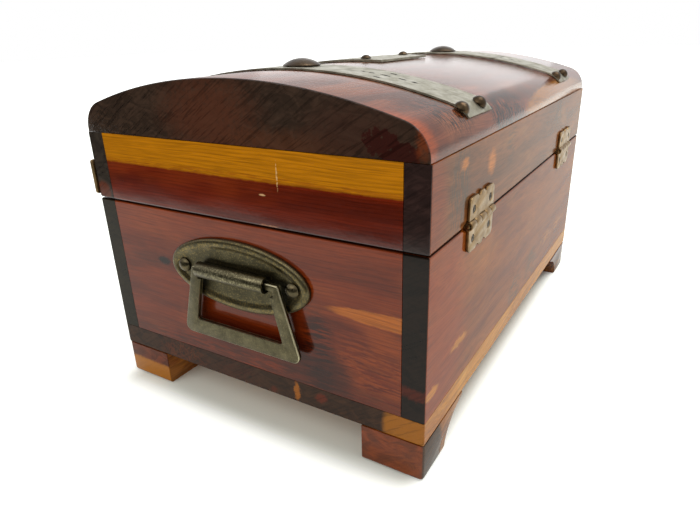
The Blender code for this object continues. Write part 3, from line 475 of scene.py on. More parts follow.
@dataclass(frozen=True)
class Metal:
    """An antique metal with a mottled, hammered or cast surface.

    Attributes:
        name: The finish's name.
        body: The colour of most of it.
        bright: The colour of its worn, bright places.
        dark: The colour of its dark hollows.
        speck: The colour of its fine specks.
        smooth: The roughness of the bright places.
        rough: The roughness of the dark places.
        dent: The size of the hammer marks in millimetres.
        dent_depth: Their depth in millimetres.
        speckle: How strong the fine specks are.
        mottle: How strong the dark and bright areas are.
        folded: Whether the patches lie on the left and at the front as well.
        patches: Worn rims, dark edges and other areas.
    """

    name: str
    body: Colour
    bright: Colour
    dark: Colour
    speck: Colour
    smooth: float = 0.3
    rough: float = 0.5
    dent: float = 3.0
    dent_depth: float = 0.12
    speckle: float = 0.5
    mottle: float = 0.5
    patches: tuple[Patch, ...] = ()
    folded: bool = False

    def material(self) -> bpy.types.Material:
        """Build the metal's material.

        Returns:
            The material.
        """
        graph = Graph.material(self.name)
        place = graph.place()
        mottle = graph.noise(place, (5.5, 5.5, 5.5), 5, 0.6, 0.5).outputs[0]
        fine = graph.noise(place, (0.55, 0.55, 0.55), 3, 0.6).outputs[0]
        spot = graph.vector("DIVIDE", place, (self.dent, self.dent, self.dent))
        marks = graph.add("TexVoronoi", {"Vector": spot, "Scale": 1.0, "Smoothness": 0.6},
                          feature="SMOOTH_F1").outputs["Distance"]
        sway = graph.sway(graph.noise(place, (1.6, 1.6, 1.6), 3, 0.6), (1.4, 1.4, 1.4))
        dark = linear(self.dark)
        colour = graph.mix(graph.step(mottle, 0.3, 0.52, self.mottle, 0), linear(self.body), dark)
        colour = graph.mix(graph.step(mottle, 0.5, 0.75, 0, self.mottle), colour, linear(self.bright))
        colour = graph.mix(graph.step(marks, 0.4, 0.85, 0, 0.4 * self.mottle), colour, dark)
        where = graph.vector("ABSOLUTE", place) if self.folded else place
        for patch in self.patches:
            colour = patch.lay(graph, colour, where, sway, {Figure.STREAKED: graph.step(fine, 0.48, 0.6)})
        colour = graph.mix(graph.step(fine, 0.3, 0.45, self.speckle, 0), colour, dark)
        colour = graph.mix(graph.step(fine, 0.54, 0.68, 0, self.speckle), colour, linear(self.speck))
        wear = graph.math("ADD", mottle, graph.math("MULTIPLY", fine, 0.3))
        relief = graph.bump(marks, self.dent_depth, graph.bump(fine, 0.035))
        return graph.finish({"Base Color": colour, "Metallic": 1.0, "Normal": relief,
                             "Roughness": graph.step(wear, 0.45, 0.85, self.rough, self.smooth)})


# ---------------------------------------------------------------- finishes of this chest

CEDAR = {"heart": (110, 40, 10), "pale": (128, 56, 18), "dark": (82, 26, 8)}

END_BOARD = Timber(
    "red_cedar_end_board", Grain.ALONG_Y, **CEDAR, seed=3.0, pith=(160.0, 260.0), ring=1.7,
    ring_depth=0.14, wander=5.0, coat=0.55, patches=(
        Patch((122, 50, 20), (106, 0, 82), (20, 90, 13), 0.7, 0.5),
        Patch((134, 58, 16), (106, 58, 36), (20, 22, 13), 0.7, 0.35, Figure.STREAKED),
        # Right of and under the bail: dark burl, darkened further by a painted shadow of the bail.
        Patch((40, 17, 12), (106, 31, 37), (20, 6.5, 16), 0.9, 0.35, Figure.STREAKED),
        Patch((50, 22, 14), (106, 24, 30), (20, 10, 7), 0.6, 0.5),
        Patch((40, 18, 13), (106, 36, 30), (20, 8, 8), 0.65, 0.45),
        Patch((54, 24, 14), (106, 6, 26), (20, 70, 3.5), 0.6, 0.5, Figure.STREAKED),
        Patch((164, 88, 24), (106, 67, 56.0), (20, 31, 2.7), 0.95, 0.1, ragged=0.35),
        Patch((72, 24, 10), (106, -44, 58.5), (20, 13, 3.0), 0.7, 0.6),
        Patch((22, 12, 10), (106, -38.5, 58.5), (20, 3.2, 1.5), 0.95, 0.4, ragged=0.5)))

LID_END_RAIL = Timber(
    "red_cedar_lid_end_rail", Grain.ALONG_Y, (98, 26, 5), (114, 40, 9), (76, 19, 5), seed=7.0,
    pith=(106.0, 290.0), ring=1.25, ring_depth=0.2, wander=3.0, coat=0.9, patches=(
        Patch((174, 108, 6), (106, 0, 110), (40, 400, 15.2), 1.0, 0.035, ragged=0.25),
        Patch((140, 74, 10), (106, 0, 95.6), (20, 90, 0.9), 0.6, 0.6, Figure.STREAKED, 0.4),
        Patch((222, 182, 120), (106, 18.9, 97), (20, 0.28, 4.4), 0.6, 0.3, Figure.STREAKED, 0.2),
        Patch((214, 170, 120), (106, 12.6, 90.4), (20, 1.2, 0.35), 0.9, 0.3, ragged=0.2),
        Patch((190, 120, 74), (106, 15.4, 79.9), (20, 4.6, 0.7), 0.8, 0.4, Figure.STREAKED)))

FRONT_BOARD = Timber(
    "red_cedar_front_board", Grain.ALONG_X, **CEDAR, end=(30, 25, 16), seed=11.0, pith=(-70.0, -30.0),
    coat=0.8, end_coat=0.3, patches=(
        Patch((150, 72, 28), (-40, -70, 60), (50, 10, 6), 0.6, 0.5, Figure.STREAKED),
        Patch((50, 22, 16), (45, -70, 40), (30, 10, 12), 0.5, 0.6, Figure.STREAKED)))

BACK_BOARD = Timber(
    "red_cedar_back_board", Grain.ALONG_X, (140, 74, 24), (156, 90, 34), (116, 54, 20), end=(24, 17, 12),
    seed=15.0, pith=(130.0, 90.0), ring=4.2, ring_depth=0.12, coat=0.4, end_coat=0.3, patches=(
        Patch((144, 58, 20), (98, 70, 55), (24, 20, 40), 0.7, 0.5),
        Patch((88, 62, 40), (8, 70, 29), (9, 20, 7), 0.7, 0.5, Figure.STREAKED),
        Patch((92, 64, 42), (-20, 70, 31), (10, 20, 9), 0.65, 0.5, Figure.STREAKED),
        Patch((198, 126, 44), (78, 70, 39.2), (7, 20, 1.4), 0.85, 0.4),
        Patch((198, 126, 44), (101, 70, 32.6), (5, 20, 1.6), 0.85, 0.4),
        Patch((176, 108, 38), (-62, 70, 36), (30, 20, 3), 0.6, 0.5, Figure.STREAKED)),
    end_patches=(Patch((74, 28, 16), (106.4, 66, 33.6), (1.6, 9, 2.0), 0.9, 0.4),))

LID_FRONT_RAIL = Timber(
    "red_cedar_lid_front_rail", Grain.ALONG_X, **CEDAR, end=(42, 36, 31), seed=19.0, pith=(-110.0, 60.0),
    coat=0.8, end_coat=0.6,
    patches=(Patch((150, 80, 34), (30, -70, 95), (40, 10, 4), 0.6, 0.5, Figure.STREAKED),),
    end_patches=(Patch((92, 40, 20), (106, -67, 82.5), (3, 3.4, 3.6), 0.85, 0.3),))

LID_BACK_RAIL = Timber(
    "red_cedar_lid_back_rail", Grain.ALONG_X, (132, 76, 34), (150, 96, 46), (104, 60, 30),
    end=(38, 26, 24), seed=23.0, pith=(96.0, 60.0), ring=4.6, ring_depth=0.12, coat=0.42, patches=(
        Patch((134, 56, 24), (104, 70, 92), (9, 20, 16), 0.7, 0.5),
        Patch((72, 60, 46), (84, 70, 93), (8, 20, 13), 0.85, 0.4, Figure.BURL),
        Patch((66, 52, 42), (-47, 70, 99), (7, 20, 6), 0.7, 0.4, Figure.BURL),
        Patch((66, 52, 42), (32, 70, 100), (5, 20, 8), 0.5, 0.5, Figure.STREAKED),
        Patch((206, 120, 36), (54.5, 70, 96.5), (3.6, 20, 3.6), 0.8, 0.6),
        Patch((200, 118, 40), (81, 70, 101), (3, 20, 1.6), 0.8, 0.5)))

BOTTOM_BOARD = Timber(
    "gold_cedar_bottom_board", Grain.ALONG_X, (194, 128, 42), (206, 146, 62), (168, 102, 34),
    end=(46, 29, 18), seed=27.0, pith=(-20.0, -40.0), ring=2.8, ring_depth=0.16, coat=0.4, end_coat=0.3,
    end_patches=(
        Patch((88, 42, 20), (106, -36.4, 18), (9, 12, 5), 0.8, 0.5, Figure.STREAKED),
        Patch((70, 34, 20), (106, -8, 18), (9, 10, 5), 0.6, 0.5, Figure.STREAKED),
        Patch((92, 36, 18), (106, 31.5, 19.6), (9, 2.2, 2), 0.85, 0.4),
        Patch((86, 38, 20), (106, 9.8, 16), (9, 1.5, 1.4), 0.8, 0.4),
        Patch((150, 86, 24), (106, 21, 19), (9, 1.2, 4.2), 0.9, 0.35),
        Patch((148, 90, 24), (106, 66, 18), (9, 10.5, 12), 0.95, 0.12, ragged=0.5)))

TOP_BOARD = Timber(
    "dark_cedar_top_board", Grain.ALONG_X, (120, 62, 38), (138, 80, 50), (92, 48, 32), end=(44, 33, 26),
    seed=31.0, pith=(10.0, 20.0), ring=4.0, ring_depth=0.2, coat=0.9, end_coat=0.6, peel=0.08, haze=0.1,
    curl=0.38, patches=(
        Patch((160, 70, 22), (107, 66, 112), (6, 14, 14), 0.8, 0.5),
        Patch((8, 6, 5), (33, 69, 111), (19, 10, 9), 1.0, 0.15, Figure.BURL),
        Patch((20, 15, 12), (80, 62, 115), (14, 12, 7), 0.9, 0.5, Figure.BURL),
        Patch((30, 20, 16), (-14, 66, 114), (16, 12, 6), 0.7, 0.5, Figure.BURL),
        Patch((160, 102, 38), (-45, 70, 107), (57, 9, 7.5), 0.95, 0.1, ragged=0.5),
        Patch((56, 40, 32), (10, 30, 124), (60, 26, 9), 0.5, 0.5, Figure.BURL)),
    end_patches=(
        Patch((78, 43, 29), (106.6, -7, 114), (1.4, 20, 13), 0.75, 0.5),
        Patch((82, 46, 28), (106.6, 22, 107), (1.4, 22, 4), 0.5, 0.6),
        Patch((58, 36, 28), (106.6, 46, 112), (1.4, 16, 8), 0.6, 0.5),
        Patch((48, 20, 16), (106.6, 55, 110), (1.4, 6, 4.2), 0.95, 0.06, ragged=1.0),
        Patch((48, 20, 16), (106.6, 61, 106.5), (1.4, 7, 4.6), 0.95, 0.06, ragged=1.0),
        Patch((110, 50, 24), (106.6, 68, 112), (1.4, 2.4, 6), 0.7, 0.5)))

FRONT_RIGHT_FOOT = Timber(
    "cedar_foot_front_right", Grain.ALONG_X, (146, 82, 24), (166, 104, 34), (100, 46, 20),
    end=(80, 36, 16), seed=35.0, coat=0.6, end_coat=0.5, curl=0.1, end_patches=(
        Patch((164, 100, 18), (106, -70, 0), (60, 80, 8.2), 0.95, 0.12, ragged=0.6),))

BACK_RIGHT_FOOT = Timber(
    "cedar_foot_back_right", Grain.ALONG_X, (160, 98, 36), (178, 118, 48), (108, 58, 28),
    end=(92, 42, 16), seed=39.0, coat=0.5, end_coat=0.5, curl=0.15, patches=(
        Patch((66, 48, 36), (101, 74, 7), (11, 12, 14), 0.95, 0.12),),
    end_patches=(Patch((116, 56, 16), (106, 70, 2), (3, 12, 9), 0.5, 0.5, Figure.STREAKED),))

LEFT_FOOT = Timber(
    "cedar_foot_left", Grain.ALONG_X, (96, 44, 20), (142, 80, 32), (66, 32, 18), end=(84, 42, 20),
    seed=43.0, patches=(Patch((170, 104, 34), (-90, 60, 3), (30, 30, 4), 0.6, 0.4, Figure.STREAKED),))

HAMMERED_STEEL = Metal(
    "hammered_strap_steel", (150, 146, 128), (184, 180, 162), (88, 84, 70), (100, 94, 76), 0.34, 0.5, 2.3,
    0.16, 0.35, 0.4)

OLIVE_BRONZE = Metal(
    "olive_handle_bronze", (84, 78, 59), (114, 106, 82), (54, 50, 37), (140, 126, 90), 0.3, 0.46, 1.6,
    0.02, 0.3, 0.4, (
        Patch((136, 114, 62), (107, -1.3, 59.9), (4, 31, 13.4), 0.6, 0.1, Figure.STREAKED),
        Patch((62, 58, 43), (107, -1.3, 59.9), (4, 26, 8.8), 0.8, 0.12),
        # Painted highlight: the rolled eye's upper, outer side is lightened in specks.
        Patch((150, 142, 112), (111.8, 0, 61.6), (1.8, 17, 2.6), 0.6, 0.3, Figure.STREAKED)))

# The bail's light rims on both faces are partly wear and partly a painted highlight along its bevels.
BAIL_BRONZE = replace(OLIVE_BRONZE, name="worn_bail_bronze", folded=True, patches=(
    Patch((178, 170, 140), (110.4, 0, 45), (0.28, 400, 400), 0.75, 0.12, ragged=0.05),
    Patch((178, 170, 140), (109.2, 0, 45), (0.28, 400, 400), 0.5, 0.12, ragged=0.05)))

NAIL_BRONZE = Metal(
    "dark_nail_bronze", (64, 52, 38), (104, 86, 64), (34, 28, 22), (88, 58, 38), 0.26, 0.42, 1.7, 0.05,
    0.3, 0.5)

RIVET_BRONZE = replace(NAIL_BRONZE, name="olive_rivet_bronze", body=(86, 78, 58), bright=(140, 128, 100),
                       dark=(52, 47, 35), smooth=0.2)

TACK_BRONZE = replace(NAIL_BRONZE, name="dark_tack_bronze", body=(44, 34, 24), bright=(84, 66, 46),
                      dark=(22, 17, 12), smooth=0.34, rough=0.5)

HINGE_BRASS = Metal(
    "pale_hinge_brass", (134, 108, 72), (166, 136, 94), (66, 50, 32), (58, 44, 28), 0.32, 0.5, 2.0,
    0.02, 0.3, 0.45)


# ---------------------------------------------------------------- the bench


def clear_bench() -> None:
    """Deselect every object, so that an operator acts on one piece only."""
    if bpy.context.object and bpy.context.object.mode != "OBJECT":
        bpy.ops.object.mode_set(mode="OBJECT")
    bpy.ops.object.select_all(action="DESELECT")


def middle(edge: bmesh.types.BMEdge) -> Vector:
    """The middle of an edge in metres."""
    return (edge.verts[0].co + edge.verts[1].co) / 2


def standing(spot: Vector, outward: Vector) -> Matrix:
    """The place of a thing that stands on a spot, its Z axis in the outward direction."""
    return Matrix.Translation(spot) @ Vector((0, 0, 1)).rotation_difference(outward).to_matrix().to_4x4()


class Workpiece:
    """A mesh on the bench, shaped with edit-mode operators as by hand."""

    def __init__(self, name: str, item: bpy.types.Object) -> None:
        """Take up an object.

        Args:
            name: The piece's name.
            item: The object that holds its mesh.
        """
        self.item = item
        item.name = name
        item.data.name = name

    @classmethod
    def fresh(cls, name: str, size: Sequence[float]) -> "Workpiece":
        """Take up the primitive just added, at its real size.

        Args:
            name: The piece's name.
            size: Its scale along its own axes.

        Returns:
            The piece, its place in its mesh.
        """
        piece = cls(name, bpy.context.object)
        piece.item.scale = size
        piece.settle()
        return piece

    @classmethod
    def block(cls, name: str, low: Vector, high: Vector) -> "Workpiece":
        """A cube between two corners.

        Args:
            name: The piece's name.
            low: Its lowest corner.
            high: Its highest corner.

        Returns:
            The piece.
        """
        clear_bench()
        bpy.ops.mesh.primitive_cube_add(size=1, location=(low + high) / 2)
        return cls.fresh(name, high - low)

    @classmethod
    def rod(cls, name: str, centre: Vector, radii: tuple[float, float], length: float, axis: str,
            sides: int = 48) -> "Workpiece":
        """A round or oval rod.

        Args:
            name: The piece's name.
            centre: Its middle.
            radii: Its two radii in millimetres; along y they are those along x and z, along x
                those along z and y.
            length: Its length in millimetres.
            axis: The axis that it lies along, x or y.
            sides: Its number of sides.

        Returns:
            The piece.
        """
        clear_bench()
        turn = {"x": (0, math.pi / 2, 0), "y": (math.pi / 2, 0, 0)}[axis]
        bpy.ops.mesh.primitive_cylinder_add(vertices=sides, radius=1, depth=1, location=centre,
                                            rotation=turn)
        return cls.fresh(name, (radii[0] * MM, radii[1] * MM, length * MM))

    @classmethod
    def edge(cls, name: str, spot: Vector, reach: Vector) -> "Workpiece":
        """A single edge, left of a plane that loses its far side.

        Args:
            name: The piece's name.
            spot: Its middle.
            reach: Its length, along X or along Y.

        Returns:
            The piece.
        """
        clear_bench()
        depth = Vector((0, MM, 0)) if reach.x else Vector((MM, 0, 0))
        bpy.ops.mesh.primitive_plane_add(size=1, location=spot + depth / 2)
        piece = cls.fresh(name, (*(reach + depth).xy, 1))
        with piece.at_work():
            piece.pick(Part.VERTS, lambda vert: (vert.co - spot).dot(depth) > depth.dot(depth) / 2)
            bpy.ops.mesh.delete(type="VERT")
        return piece

    @classmethod
    def copied(cls, name: str, source: bpy.types.Object, place: Matrix | None = None) -> "Workpiece":
        """A copy with its own mesh.

        Args:
            name: The copy's name.
            source: The object to copy.
            place: Where it goes, applied to its mesh.

        Returns:
            The copy.
        """
        clear_bench()
        item = source.copy()
        item.data = source.data.copy()
        item.parent = None
        item.animation_data_clear()
        for key in list(item.keys()):
            del item[key]
        bpy.context.collection.objects.link(item)
        item.matrix_world = Matrix.Identity(4) if place is None else place
        item.hide_render = False
        item.hide_set(False)
        piece = cls(name, item)
        piece.settle()
        return piece

    def take_up(self) -> None:
        """Make the piece the only selected and active object."""
        clear_bench()
        self.item.select_set(True)
        bpy.context.view_layer.objects.active = self.item

    def settle(self) -> None:
        """Apply the object's own place, turn and scale to its mesh."""
        self.take_up()
        bpy.ops.object.transform_apply(location=True, rotation=True, scale=True)

    @contextmanager
    def at_work(self) -> Iterator[None]:
        """Hold the piece in edit mode, with nothing picked at first."""
        self.take_up()
        bpy.ops.object.mode_set(mode="EDIT")
        bpy.ops.mesh.select_all(action="DESELECT")
        yield
        bpy.ops.object.mode_set(mode="OBJECT")

    def pick(self, part: Part, wanted: Callable[..., bool]) -> None:
        """Pick the elements that pass a test, and nothing else.

        Args:
            part: The kind of element.
            wanted: The test, which gets each element.
        """
        bpy.ops.mesh.select_mode(type=part.value)
        bpy.ops.mesh.select_all(action="DESELECT")
        mesh = bmesh.from_edit_mesh(self.item.data)
        for element in [element for element in getattr(mesh, part.name.lower()) if wanted(element)]:
            element.select_set(True)
        mesh.select_flush_mode()
        bmesh.update_edit_mesh(self.item.data)

    def pull(self, move: Sequence[float]) -> None:
        """Extrude what is picked and move it."""
        bpy.ops.mesh.extrude_region_move(TRANSFORM_OT_translate={"value": tuple(move)})

    def shift(self, move: Sequence[float]) -> None:
        """Move what is picked."""
        bpy.ops.transform.translate(value=tuple(move))

    def resize(self, factors: Sequence[float], about: Vector) -> None:
        """Scale what is picked about a point."""
        bpy.ops.transform.resize(value=tuple(factors), center_override=tuple(about))

    def round_off(self, offset: float, steps: int = 3) -> None:
        """Bevel the picked edges by an offset in millimetres."""
        bpy.ops.mesh.bevel(offset=offset * MM, segments=steps, profile=0.5, affect="EDGES")

    def face_out(self) -> None:
        """Point every face outwards, in edit mode."""
        bpy.ops.mesh.select_all(action="SELECT")
        bpy.ops.mesh.normals_make_consistent(inside=False)

    def true_up(self, dissolve: bool = False) -> None:
        """Merge doubles and point every face outwards.

        Args:
            dissolve: Whether faces that lie in one plane become one.
        """
        with self.at_work():
            bpy.ops.mesh.select_all(action="SELECT")
            bpy.ops.mesh.remove_doubles(threshold=DOUBLE)
            if dissolve:
                bpy.ops.mesh.dissolve_limited(angle_limit=FLAT)
            self.face_out()

    def flip(self) -> None:
        """Turn every face over."""
        with self.at_work():
            bpy.ops.mesh.select_all(action="SELECT")
            bpy.ops.mesh.flip_normals()

    def turn_over(self) -> None:
        """Mirror the piece to the other end of the chest."""
        self.item.scale = (-1, 1, 1)
        self.settle()
        self.true_up()

    def modify(self, kind: str, **settings: object) -> None:
        """Add a modifier and apply it.

        Args:
            kind: The modifier's type.
            **settings: The modifier's own settings.
        """
        self.take_up()
        change = self.item.modifiers.new(kind.lower(), kind)
        for key, value in settings.items():
            setattr(change, key, value)
        bpy.ops.object.modifier_apply(modifier=change.name)

    def carve(self, tool: "Workpiece", operation: str = "DIFFERENCE") -> None:
        """Cut a tool's shape away, or add it, and clear the tool off the bench."""
        self.modify("BOOLEAN", operation=operation, object=tool.item, solver="EXACT")
        bpy.data.objects.remove(tool.item)

    def ease(self, width: float, steps: int = 2, angle: float = 40) -> None:
        """Round every edge that is sharper than an angle in degrees, by a width in millimetres."""
        self.modify("BEVEL", width=width * MM, segments=steps, limit_method="ANGLE",
                    angle_limit=math.radians(angle), use_clamp_overlap=True)

    def thicken(self, thickness: float) -> None:
        """Give a skin a thickness in millimetres, outwards."""
        self.modify("SOLIDIFY", thickness=thickness * MM, offset=1, use_even_offset=True)

    def hammer(self, size: float, depth: float, kind: str = "VORONOI") -> None:
        """Leave hammer marks or slight unevenness in the surface.

        Args:
            size: The size of a mark in millimetres.
            depth: Its depth in millimetres.
            kind: The texture that gives the marks.
        """
        marks = bpy.data.textures.new(self.item.name + "_marks", kind)
        marks.noise_scale = size * MM
        self.modify("DISPLACE", texture=marks, texture_coords="LOCAL", strength=depth * MM, mid_level=0.5)

    def deliver(self, body: str, slot: str, material: bpy.types.Material, *nodes: str,
                angle: float = 32) -> None:
        """Dress the piece and hand it to the frame.

        Args:
            body: The body that it rides on.
            slot: The record's material slot; not used.
            material: Its material.
            *nodes: The nodes that it stands for.
            angle: The angle in degrees above which an edge looks sharp.
        """
        self.take_up()
        bpy.ops.object.shade_smooth_by_angle(angle=math.radians(angle))
        self.item.data.materials.clear()
        self.item.data.materials.append(material)
        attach(self.item, body)
        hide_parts(*nodes)
        log.info("%s stands for %s", self.item.name, ", ".join(nodes))


def refined(name: str, node: bpy.types.Object, width: float) -> Workpiece:
    """Work up a copy of a small solid: its flat faces made whole and its edges rounded.

    Args:
        name: The piece's name.
        node: The solid.
        width: The width of the rounding in millimetres.

    Returns:
        The piece.
    """
    piece = Workpiece.copied(name, node)
    piece.true_up(dissolve=True)
    piece.ease(width)
    return piece


@dataclass
class Nail:
    """A round-headed nail, modelled once about the middle of its head's underside.

    Attributes:
        radius: The radius of its head.
        rise: The height of its head.
        edge: The height of the head's upright edge.
        grip: The length of its shank.
        shank: The radius of its shank.
        sides: How many sides its head has.
        pattern: The nail that the driven ones are copied from.
    """

    radius: float
    rise: float
    edge: float = 0.3
    grip: float = 5.0
    shank: float = 0.9
    sides: int = 32
    pattern: Workpiece | None = field(default=None, repr=False)

    def model(self) -> Workpiece:
        """Turn a ball into a head with a shank.

        Returns:
            The nail, head up.
        """
        clear_bench()
        dome = self.rise - self.edge
        ball = (self.radius ** 2 + dome ** 2) / (2 * dome)
        bpy.ops.mesh.primitive_uv_sphere_add(segments=self.sides, ring_count=36, radius=ball * MM,
                                             location=(0, 0, (self.rise - ball) * MM))
        piece = Workpiece.fresh("nail_pattern", (1, 1, 1))
        with piece.at_work():
            bpy.ops.mesh.select_all(action="SELECT")
            bpy.ops.mesh.bisect(plane_co=(0, 0, self.edge * MM), plane_no=(0, 0, 1), clear_inner=True)
            piece.pick(Part.EDGES, lambda edge: edge.is_boundary)
            piece.pull((0, 0, -self.edge * MM))
            piece.pull((0, 0, 0))
            narrow = self.shank / self.radius
            piece.resize((narrow, narrow, 1), Vector())
            piece.pull((0, 0, -self.grip * MM))
            bpy.ops.mesh.edge_face_add()
            piece.face_out()
        piece.hammer(*NAIL_DENTS, "CLOUDS")
        return piece

    def drive(self, name: str, spot: Vector, outward: Vector, spin: float = 0.0) -> Workpiece:
        """Put a copy of the nail in place.

        Args:
            name: The copy's name.
            spot: The middle of its head's underside.
            outward: The direction that its head points in.
            spin: Its own turn in degrees.

        Returns:
            The copy.
        """
        if self.pattern is None:
            self.pattern = self.model()
        place = standing(spot, outward) @ Matrix.Rotation(math.radians(spin), 4, "Z")
        return Workpiece.copied(name, self.pattern.item, place)

    def put_away(self) -> None:
        """Clear the pattern off the bench."""
        if self.pattern is not None:
            bpy.data.objects.remove(self.pattern.item)
            self.pattern = None


@dataclass
class LidCurve:
    """The lid's outer surface: a wide arc that runs into a tight one at the front and back.

    Attributes:
        shoulder_y: Where the tight arc has its centre.
        shoulder_z: The height of that centre.
        shoulder: The tight arc's radius.
        dome: The wide arc's radius.
    """

    shoulder_y: float = 58.7
    shoulder_z: float = 105.8
    shoulder: float = 10.8
    dome: float = 207.4

    @property
    def tilt(self) -> float:
        """The angle at which the two arcs meet."""
        return math.asin(self.shoulder_y / (self.dome - self.shoulder))

    @property
    def dome_z(self) -> float:
        """The height of the wide arc's centre."""
        return self.shoulder_z - (self.dome - self.shoulder) * math.cos(self.tilt)

    @property
    def arc(self) -> float:
        """The length of the wide arc from the crest to its end."""
        return self.dome * self.tilt

    @property
    def length(self) -> float:
        """The length of the surface from the crest to the lid's edge."""
        return self.arc + self.shoulder * (math.pi / 2 - self.tilt)

    def spot(self, path: float, lift: float, x: float) -> tuple[Vector, Vector]:
        """A point over the lid.

        Args:
            path: The length along the surface from the crest, positive to the back.
            lift: The height over the surface.
            x: The place along the lid.

        Returns:
            The point, and the outward direction there.
        """
        side = math.copysign(1, path)
        if abs(path) <= self.arc:
            tilt, radius, centre = abs(path) / self.dome, self.dome, (0.0, self.dome_z)
        else:
            tilt = self.tilt + (abs(path) - self.arc) / self.shoulder
            radius, centre = self.shoulder, (self.shoulder_y, self.shoulder_z)
        outward = Vector((0, side * math.sin(tilt), math.cos(tilt)))
        reach = radius + lift
        return at(x, side * centre[0] + reach * outward.y, centre[1] + reach * outward.z), outward

    def strip(self, name: str, x: float, width: float, start: float, end: float, lift: float,
              across: int, pitch: float) -> Workpiece:
        """A skin over the lid: one edge, spun round each arc in turn.

        Args:
            name: The piece's name.
            x: The middle of the strip along the lid.
            width: Its width.
            start: The path of its front end.
            end: The path of its back end.
            lift: Its height over the surface.
            across: How many faces it has across.
            pitch: The length of one face along it.

        Returns:
            The skin, its faces outwards.
        """
        piece = Workpiece.edge(name, self.spot(start, lift, x)[0], Vector((width * MM, 0, 0)))
        with piece.at_work():
            piece.pick(Part.EDGES, lambda edge: True)
            if across > 1:
                bpy.ops.mesh.subdivide(number_cuts=across - 1)
            for centre, radius, low, high in (
                    (at(x, -self.shoulder_y, self.shoulder_z), self.shoulder, start, -self.arc),
                    (at(x, 0, self.dome_z), self.dome, max(start, -self.arc), min(end, self.arc)),
                    (at(x, self.shoulder_y, self.shoulder_z), self.shoulder, self.arc, end)):
                if high - low > 0.01:
                    bpy.ops.mesh.spin(steps=max(1, round((high - low) / pitch)), center=centre,
                                      angle=(high - low) / radius, axis=(1, 0, 0))
            bpy.ops.mesh.select_all(action="SELECT")
            bpy.ops.mesh.remove_doubles(threshold=DOUBLE)
        if sum(face.normal.z for face in piece.item.data.polygons) < 0:
            piece.flip()
        return piece


# ---------------------------------------------------------------- the chest


def dress(frame: dict, timber: Timber, *nodes: str) -> None:
    """Give boards of the frame their timber.

    Args:
        frame: The loaded frame.
        timber: The finish.
        *nodes: The boards.
    """
    material = timber.material()
    for node in nodes:
        for slot in frame["nodes"][node].material_slots:
            slot.material = material
        log.info("%s is dressed in %s", node, timber.name)


@dataclass
class Case:
    """The case: its bottom board, its four walls and its feet.

    Attributes:
        frame: The loaded frame.
        half_length: Half its length.
        half_depth: Half its depth.
        foot_height: The height of a foot.
        foot_length: The length of a foot.
        foot_depth: The depth of a foot.
        foot_round: The rounding of its outer edges.
        foot_arris: The rounding of its other edges.
        cove_centre: Where the cove's oval has its middle, from the foot's outer end.
        cove_reach: The oval's half length.
    """

    frame: dict
    half_length: float = 106.0
    half_depth: float = 70.0
    foot_height: float = 14.2
    foot_length: float = 35.0
    foot_depth: float = 22.9
    foot_round: float = 1.4
    foot_arris: float = 0.25
    cove_centre: float = 44.62
    cove_reach: float = 26.02

    def foot(self, side: Side, end: End) -> Workpiece:
        """Model one foot: a block with rounded outer edges and a cove under its inner side.

        Args:
            side: The side that it stands on.
            end: The end that it stands on.

        Returns:
            The foot.
        """
        name = f"foot_{end.word}_{side.word}_block"
        x, y = side.value * self.half_length, end.value * self.half_depth
        inner_x, inner_y = x - side.value * self.foot_length, y - end.value * self.foot_depth
        piece = Workpiece.block(name, at(min(x, inner_x), min(y, inner_y), 0),
                                at(max(x, inner_x), max(y, inner_y), self.foot_height))
        corner = at(x, y, 0)

        def outer(edge: bmesh.types.BMEdge) -> bool:
            """Whether an edge is the outer corner or runs along the floor outside."""
            spot = middle(edge)
            on_side, on_end = abs(spot.x - corner.x) < NEAR, abs(spot.y - corner.y) < NEAR
            return (on_side and on_end) or (spot.z < NEAR and (on_side or on_end))

        with piece.at_work():
            piece.pick(Part.EDGES, outer)
            piece.round_off(self.foot_round, 4)
        piece.carve(Workpiece.rod("cove", at(x - side.value * self.cove_centre, y, 0),
                                  (self.cove_reach, self.foot_height), 3 * self.foot_depth, "y", sides=128))
        piece.ease(self.foot_arris, angle=SHARP)
        return piece

    def build(self) -> None:
        """Dress the boards and model the feet."""
        dress(self.frame, BOTTOM_BOARD, "bottom_board")
        dress(self.frame, END_BOARD, "end_board_right", "end_board_left")
        dress(self.frame, FRONT_BOARD, "front_board")
        dress(self.frame, BACK_BOARD, "back_board")
        left = LEFT_FOOT.material()
        finishes = {(Side.RIGHT, End.FRONT): FRONT_RIGHT_FOOT.material(),
                    (Side.RIGHT, End.BACK): BACK_RIGHT_FOOT.material(),
                    (Side.LEFT, End.FRONT): left, (Side.LEFT, End.BACK): left}
        for (side, end), finish in finishes.items():
            self.foot(side, end).deliver("chest", "red_cedar", finish, f"foot_{end.word}_{side.word}")


